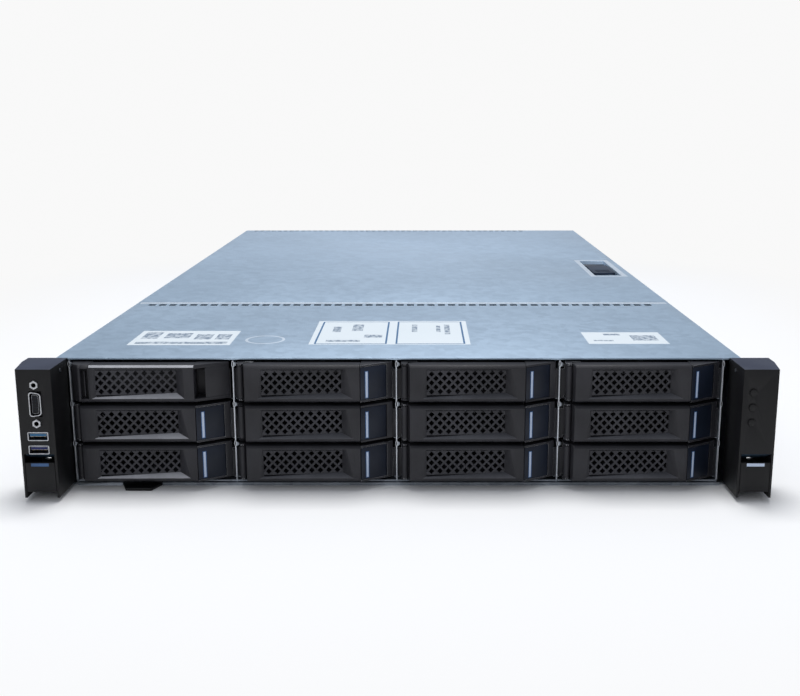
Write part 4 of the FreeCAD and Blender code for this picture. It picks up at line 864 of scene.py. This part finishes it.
# %% [markdown]
# The empty bay has a plain filler instead of a tray. It has the same pierced
# hollow, a slot on its left, and on its right a grip: an opening behind which a
# finger hooks the filler out.

# %% The blank


def bar(work, corners, left, top, levels, finish="tray_plastic"):
    """A plan pushed up through levels, with its front drawn back at some of them."""
    rows = []
    for height, drawn_back in levels:
        limit = FACE + BEVEL if drawn_back else FACE
        rows.append([Vector((left + across, max(depth, limit), top + height)) for across, depth in corners])
    work.skin(rows, finish, soft=0.2)


# Levels of the filler, each with whether the bevel draws its front back there.
# Its slot and its finger gap are open between two of them.
OPEN_LOW = -22.1
OPEN_HIGH = -2.2
FULL = [(-HEIGHT, True), (BEVEL - HEIGHT, False), (-BEVEL, False), (0, True)]
UPPER_RIM = [(OPEN_HIGH, False), (-BEVEL, False), (0, True)]
LOWER_RIM = [(-HEIGHT, True), (BEVEL - HEIGHT, False), (OPEN_LOW, False)]
OPEN = [(OPEN_LOW, False), (OPEN_HIGH, False)]
# The depth where the bars end.
REAR = 1.4


def plan(left, right, near_left, near_right, back=REAR):
    return [(left, near_left), (right, near_right), (right, back), (left, back)]


def make_blank():
    """The filler: a front like a tray's, with bars round it."""
    low, high = edges("drive_blank")
    left = low.x + 0.6
    top = high.z
    rows = [outline(14.6, END, -HEIGHT, 0, BACK), outline(14.6, END, -HEIGHT, 0, FACE + BEVEL),
            outline(14.6, END, BEVEL - HEIGHT, -BEVEL, FACE), *mouth_rows(75.4, 75.4)]
    work = Work()
    work.skin(set_in(rows, left, top), "tray_plastic", closed=True)
    work.soften(work.mesh.faces, ROUNDING)
    paint_facet_highlight(work, top, left, upper=True)
    hang_sheet(work, left, top)
    # The post on the left, and the slot beside it, painted dark inside as shade.
    bar(work, [(7.6, FACE), (9.0, FACE), (9.0, REAR), (1.8, REAR), (1.8, -6.4)], left, top, FULL)
    bar(work, plan(14.0, 14.6, FACE, FACE), left, top, FULL)
    for levels in (UPPER_RIM, LOWER_RIM):
        bar(work, plan(9.0, 14.0, FACE, FACE), left, top, levels)
        bar(work, plan(END, 102.6, FACE, FACE + 20.6 * SLOPE), left, top, levels)
    bar(work, plan(9.0, 14.0, FACE + 3.2, FACE + 3.2), left, top, OPEN, "dark_plastic_and_painted_shade")
    bar(work, plan(11.4, 12.0, FACE + 0.5, FACE + 0.5, FACE + 3.3), left, top, [(-20.5, False), (-4, False)])
    # The fixed sloping plate on the right, and the dark wedge under the slot.
    bar(work, plan(88.6, 102.6, FACE + 6.6 * SLOPE, FACE + 20.6 * SLOPE), left, top, OPEN)
    bar(work, plan(6.6, 15.4, -12.0, -12.9, -9), left, top, [(-22.9, False), (-22.0, False)], "mesh_plastic_painted_sheen")
    # The filler's wall and side plates.
    work.block((low.x, REAR, low.z), (high.x, 3.0, low.z + 20), "tray_plastic", soft=0.2)
    for side in (low.x, high.x - 1.6):
        work.block((side, REAR, low.z), (side + 1.6, high.y, low.z + 20), "tray_plastic", soft=0.2)
    work.piece("blank_front", "drive_blank", "tray_plastic", ["drive_blank"])


make_blank()
print("blank ready")

# %% [markdown]
# The sheet dividers between the columns end in a bright edge with small loops,
# one at the top of every row, that guide a tray in. A loop is narrower than the
# gap between two columns, because the trays slide out past it.

# %% Loops on the dividers
# Half width and half height of a loop and of its hole, the edge's half
# thickness, and the gap's middle from a tray's corner.
LOOP = (0.75, 2.3)
LOOP_HOLE = (0.35, 1.8)
EDGE_HALF = 0.35
GAP_MIDDLE = -1.4


def oval(across, up, halves):
    return [(across + halves[0] * c, up + halves[1] * s) for c, s in circle(0, 0, 1, 16)]


def make_loops():
    work = Work()
    tops = sorted({round(edges(node)[1].z, 2) for node in levers})
    lefts = sorted({round(edges(node)[0].x - INSET, 2) for node in levers})
    for left in [*lefts, lefts[-1] + lefts[1] - lefts[0]]:
        across = left + GAP_MIDDLE
        low = (across - EDGE_HALF, -1.2, 4.0)
        # The divider's edge and its loops are a paler copy of the zinc steel: a painted highlight.
        work.block(low, (across + EDGE_HALF, 0.4, tops[-1] + 0.4), "loop_metal_painted_highlight", soft=0.08)
        for top in tops:
            hole = oval(across, top - 1.6, LOOP_HOLE)
            work.ring(oval(across, top - 1.6, LOOP), hole, -1.6, -0.4, "loop_metal_painted_highlight", soft=0.08)
            # Painted shade: a dark plug fills each loop's hole.
            work.prism(hole, -1.45, -0.4, "dark_plastic_and_painted_shade")
    work.piece("divider_loops", "chassis", "zinc_steel")


make_loops()
print("loops ready")

# %% [markdown]
# ## The ears
# The left ear carries a video socket between two jack screws and, below it, two
# USB sockets with blue tongues. Both ears have a spring latch at the foot with
# a thin stripe across its upper edge.

# %% Front sockets


def d_outline(across, up, inset):
    """The D of a video socket, standing on end: its right side is the shorter one."""
    points = rounded(inset - 3.8, 3.8 - inset, inset - 8.3, 8.3 - inset, 2.0 - inset / 2, 3)
    return [(across + side, up + height * (1 - 0.02 * (side + 3.8))) for side, height in points]


# Heights of the front sockets, the depth of their panel, and the video socket's
# columns of contacts.
VIDEO_UP = 64.7
USB_UP = {"usb_light": 43.6, "usb_blue": 34.8}
PANEL = -27.5
CONTACT_COLUMNS = (-1.3, 0.2, 1.6)


def make_front_sockets():
    low, high = edges("front_ports")
    across = (low.x + high.x) / 2
    up = VIDEO_UP
    work = Work()
    shell = d_outline(across, up, 0)
    work.ring(shell, d_outline(across, up, 0.65), low.y, PANEL, "connector_metal", soft=0.12)
    # The insulator is dark plastic, and the gap behind it and the screws' holes are painted dark as shade.
    work.prism(d_outline(across, up, 1.7), -33.4, PANEL, "dark_plastic_and_painted_shade", soft=0.15)
    work.prism(d_outline(across, up, 0.4), -29.0, PANEL, "dark_plastic_and_painted_shade")
    for column in CONTACT_COLUMNS:
        for row in range(-2, 3):
            hole = circle(across + column, up + row * 2.1, 0.42, 8)
            work.prism(hole, -33.5, -33.3, "button_plastic")
    for end in (-1, 1):
        middle = up + end * 12.5
        nut = circle(across, middle, 2.9, 6, math.pi / 2)
        hexagon = [point for corner, after in zip(nut, nut[1:] + nut[:1]) for point in
                   (corner, ((corner[0] + after[0]) / 2, (corner[1] + after[1]) / 2))]
        thread = circle(across, middle, 1.45, 12, math.pi / 2)
        work.ring(hexagon, thread, low.y, -32.0, "connector_metal", soft=0.2)
        work.prism(circle(across, middle, 1.5, 12), -33.0, -31.0, "dark_plastic_and_painted_shade")
    for tongue, middle in USB_UP.items():
        outer = rounded(across - 6.55, across + 6.55, middle - 2.9, middle + 2.9, 0.7)
        inner = rounded(across - 5.95, across + 5.95, middle - 2.3, middle + 2.3, 0.4)
        work.ring(outer, inner, -33.25, -19.0, "connector_metal", soft=0.1)
        work.block((across - 5.9, -21.0, middle - 2.2), (across + 5.9, -19.5, middle + 2.2), "usb_blue")
        near = (across - 5.3, -32.6, middle - 0.1)
        work.block(near, (across + 5.3, -20.0, middle + 1.8), tongue, soft=0.15)
        for contact in range(4):
            place = across - 3.75 + contact * 2.5
            work.block((place - 0.5, -32.4, middle - 0.25), (place + 0.5, -22.0, middle + 0.1), "pin_gold")
    work.piece("front_sockets", "chassis", "connector_metal", ["front_ports"])


make_front_sockets()
print("front sockets ready")

# %% [markdown]
# Above each latch the ear has a sloped lip over a gap for a fingertip. The
# latch's stripe is a thin raised pad.

# %% Latch stripes, sloped lips and ear screws


def make_ear_trim(side):
    low, high = edges(side + "_ear_latch")
    across = (low.x + high.x) / 2
    work = Work()
    finish = "stripe_blue" if side == "left" else "stripe_pale"
    work.block((across - 5.6, -33.1, 23.8), (across + 5.6, -32.9, 25.8), finish)
    work.piece(side + "_latch_stripe", side + "_ear_latch", "black_plastic")
    lip = Work()
    shape = [(-32.2, high.z + 5.5), (-24.0, high.z + 0.6), (-22.6, high.z + 0.6), (-22.6, high.z + 5.5)]
    # Painted sheen: the sloped lip is a paler, bluish copy of the ears' black plastic.
    lip.prism(shape, low.x + 0.3, high.x - 0.3, "slate_painted_sheen", "x", soft=0.2)
    inner = high.x + 1.7 if side == "left" else low.x - 1.7
    screw = sorted((inner, inner + (0.35 if side == "left" else -0.35)))
    lip.prism(circle(-15.0, 82.4, 1.3, 12), screw[0], screw[1], "connector_metal", "x", soft=0.1)
    lip.piece(side + "_ear_lip", "chassis", "black_plastic")


for side in ("left", "right"):
    make_ear_trim(side)
print("ears ready")

# %% [markdown]
# ## The covers
# Each cover is a shallow channel of pre-coated steel with a row of small vents
# along its rear edge. The slots are cut out of the finished sheet.

# %% Cut vents
# The sheets' thickness, and half the length of the dark sheets of painted shade under the vents.
WALL = 0.8
SHADE_SHEET_HALF = 214.0


def carve(made, cutters):
    """Cut blocks out of a finished piece."""
    tool = Work()
    for low, high in cutters:
        tool.block(low, high, "cover_steel")
    tool.mesh.transform(TO_METRES)
    mesh = bpy.data.meshes.new("cutter")
    tool.mesh.to_mesh(mesh)
    cutter = bpy.data.objects.new("cutter", mesh)
    bpy.context.scene.collection.objects.link(cutter)
    cut = made.modifiers.new("cut", "BOOLEAN")
    cut.operation = "DIFFERENCE"
    cut.solver = "EXACT"
    cut.object = cutter
    whole = bpy.data.meshes.new_from_object(made.evaluated_get(bpy.context.evaluated_depsgraph_get()))
    made.modifiers.clear()
    made.data = whole
    bpy.data.objects.remove(cutter)


def vent_row(first, last, pitch, length, near, far, top):
    """A row of slots across a cover, as the corners of blocks to cut out."""
    left = first
    while left <= last:
        yield (left, near, top - 2.0), (left + length, far, top + 1.0)
        left += pitch


def make_front_cover():
    """The channel of the front cover, with its row of vents."""
    low, high = edges("front_cover")
    wide = high.x
    top = high.z
    profile = [(-wide, low.z), (-wide + WALL, low.z), (-wide + WALL, top - WALL), (wide - WALL, top - WALL),
               (wide - WALL, low.z), (wide, low.z), (wide, top), (-wide, top)]
    work = Work()
    work.prism(profile, 0.0, high.y, "cover_steel", soft=0.3)
    work.block((-215.6, low.y, top - 1.2), (215.6, 0.0, top), "cover_steel", soft=0.25)
    made = work.piece("front_cover_sheet", "chassis", "cover_steel", ["front_cover"])
    vents = vent_row(-212.0, 206.5, 8.6, 5.9, high.y - 16.0, high.y - 8.6, top)
    carve(made, vents)


def make_vent_shade_sheets():
    """Dark sheets under both rows of vents: painted shade seen through the slots."""
    front = edges("front_cover")[1]
    rear = edges("top_cover")[1]
    shade_sheet = Work()
    near = (-SHADE_SHEET_HALF, front.y - 18.0, 85.1)
    shade_sheet.block(near, (SHADE_SHEET_HALF, front.y - 7.0, 85.7), "dark_plastic_and_painted_shade", soft=0.1)
    shade_sheet.piece("front_vent_liner", "chassis", "black_plastic")
    shade_sheet = Work()
    near = (-SHADE_SHEET_HALF, rear.y - 12.0, rear.z - 1.9)
    shade_sheet.block(near, (SHADE_SHEET_HALF, rear.y - 1.6, rear.z - 1.3), "dark_plastic_and_painted_shade", soft=0.1)
    shade_sheet.piece("rear_vent_liner", "top_cover", "black_plastic")


rear = edges("top_cover")[1]
rear_cover = softened("top_cover", SHEET_EDGE, name="rear_cover")
carve(rear_cover, vent_row(-212.0, 150.0, 8.0, 5.0, rear.y - 10.5, rear.y - 3.0, rear.z))
make_front_cover()
make_vent_shade_sheets()
print("covers ready")

# %% [markdown]
# The rear cover's latch is a flap in a dish, with five ribs for a thumb.

# %% The latch


def make_latch():
    low, high = edges("cover_latch")
    softened("cover_latch", 0.3, "latch_plastic")
    work = Work()
    for step in range(5):
        near = low.y + 6.0 + step * 3.0
        corner = (high.x - 4.0, near + 1.2, high.z + 0.25)
        work.block((low.x + 4.0, near, high.z - 0.3), corner, "latch_plastic", soft=0.1)
    work.piece("latch_ribs", "cover_latch", "black_plastic")


make_latch()
print("latch ready")

# %% [markdown]
# ## The room
# A pale floor and a pale sky, one broad lamp above the machine and a weaker one
# by the camera. Away from the machine the floor turns into the same white as
# the sky, so that no horizon shows behind it.

# %% Floor, lamps and camera
# The backdrop's white, the sky's light, the machine's half width and depth, and
# how far from it the floor's fade starts and ends, in metres.
WHITE = (0.945, 0.945, 0.945, 1)
SKY = (0.34, 0.36, 0.4, 1)
HALF_WIDTH = 0.24
HALF_DEPTH = 0.42
FADE_NEAR = 0.02
FADE_FAR = 0.4
FLOOR_REACH = 40.0


def make_floor():
    board = Finish("studio_floor")
    paper = board.noise(0.002) * 0.02 + board.noise(0.4) * 0.02
    board.set(Base_Color=board.mix(paper, shade(250, 250, 250), shade(242, 242, 242)),
              Roughness=0.9 + paper)
    glow = board.node("ShaderNodeEmission", {"Color": WHITE, "Strength": 1.0})
    across = (board.x.math("ABSOLUTE") - HALF_WIDTH).math("MAXIMUM", 0.0)
    along = (board.y.math("ABSOLUTE") - HALF_DEPTH).math("MAXIMUM", 0.0)
    reach = (across * across + along * along).math("SQRT")
    far = reach.ramp(FADE_NEAR, FADE_FAR)
    both = board.tree.nodes.new("ShaderNodeMixShader")
    feed(board.tree, both.inputs[0], far)
    board.tree.links.new(board.surface.outputs[0], both.inputs[1])
    feed(board.tree, both.inputs[2], glow)
    board.tree.links.new(both.outputs[0], board.output.inputs["Surface"])
    mesh = bpy.data.meshes.new("studio_floor")
    corners = [(*corner, 0) for corner in rectangle(-FLOOR_REACH, FLOOR_REACH, -FLOOR_REACH, FLOOR_REACH)]
    mesh.from_pydata(corners, [], [(0, 1, 2, 3)])
    mesh.materials.append(board.material)
    floor = bpy.data.objects.new("studio_floor", mesh)
    bpy.context.scene.collection.objects.link(floor)


def make_sky():
    world = bpy.data.worlds.new("studio_sky")
    world.use_nodes = True
    bpy.context.scene.world = world
    tree = world.node_tree
    tree.nodes.clear()
    seen = add_node(tree, "ShaderNodeLightPath", out="Is Camera Ray")
    colour = add_node(tree, "ShaderNodeMix", {0: seen, 6: SKY, 7: WHITE},
                      {"data_type": "RGBA"}, out=2)
    add_node(tree, "ShaderNodeBackground", {"Color": colour, "Strength": 1.0})
    output = tree.nodes.new("ShaderNodeOutputWorld")
    tree.links.new(tree.nodes["Background"].outputs[0], output.inputs["Surface"])


def make_lamp(name, place, target, size, power):
    """A soft box that looks at a target."""
    light = bpy.data.lights.new(name, "AREA")
    light.shape = "RECTANGLE"
    light.size = size[0]
    light.size_y = size[1]
    light.energy = power
    lamp = bpy.data.objects.new(name, light)
    lamp.location = place
    aim = Vector(target) - Vector(place)
    lamp.rotation_euler = aim.to_track_quat("-Z", "Y").to_euler()
    bpy.context.scene.collection.objects.link(lamp)


# Where the camera stands, in metres, how far down it looks, and its lens.
STAND = (0.01449, -1.0646, 0.2417)
LOOK_DOWN = 12.39
LENS = 47.76
SHIFT = -0.0258


def make_camera():
    eye = bpy.data.cameras.new("portrait_camera")
    eye.lens = LENS
    eye.sensor_width = 36.0
    eye.shift_x = SHIFT
    camera = bpy.data.objects.new("portrait_camera", eye)
    camera.location = STAND
    camera.rotation_euler = (math.radians(90 - LOOK_DOWN), 0, 0)
    bpy.context.scene.collection.objects.link(camera)
    bpy.context.scene.camera = camera


make_floor()
make_sky()
make_lamp("overhead_softbox", (0.0, 0.05, 2.3), (0, 0, 0), (1.0, 1.0), 40)
make_lamp("camera_softbox", (-0.6, -2.4, 1.3), (0, -0.3, 0.05), (1.6, 1.2), 7)
make_camera()
bpy.context.scene.view_settings.view_transform = "Standard"
print("room ready")
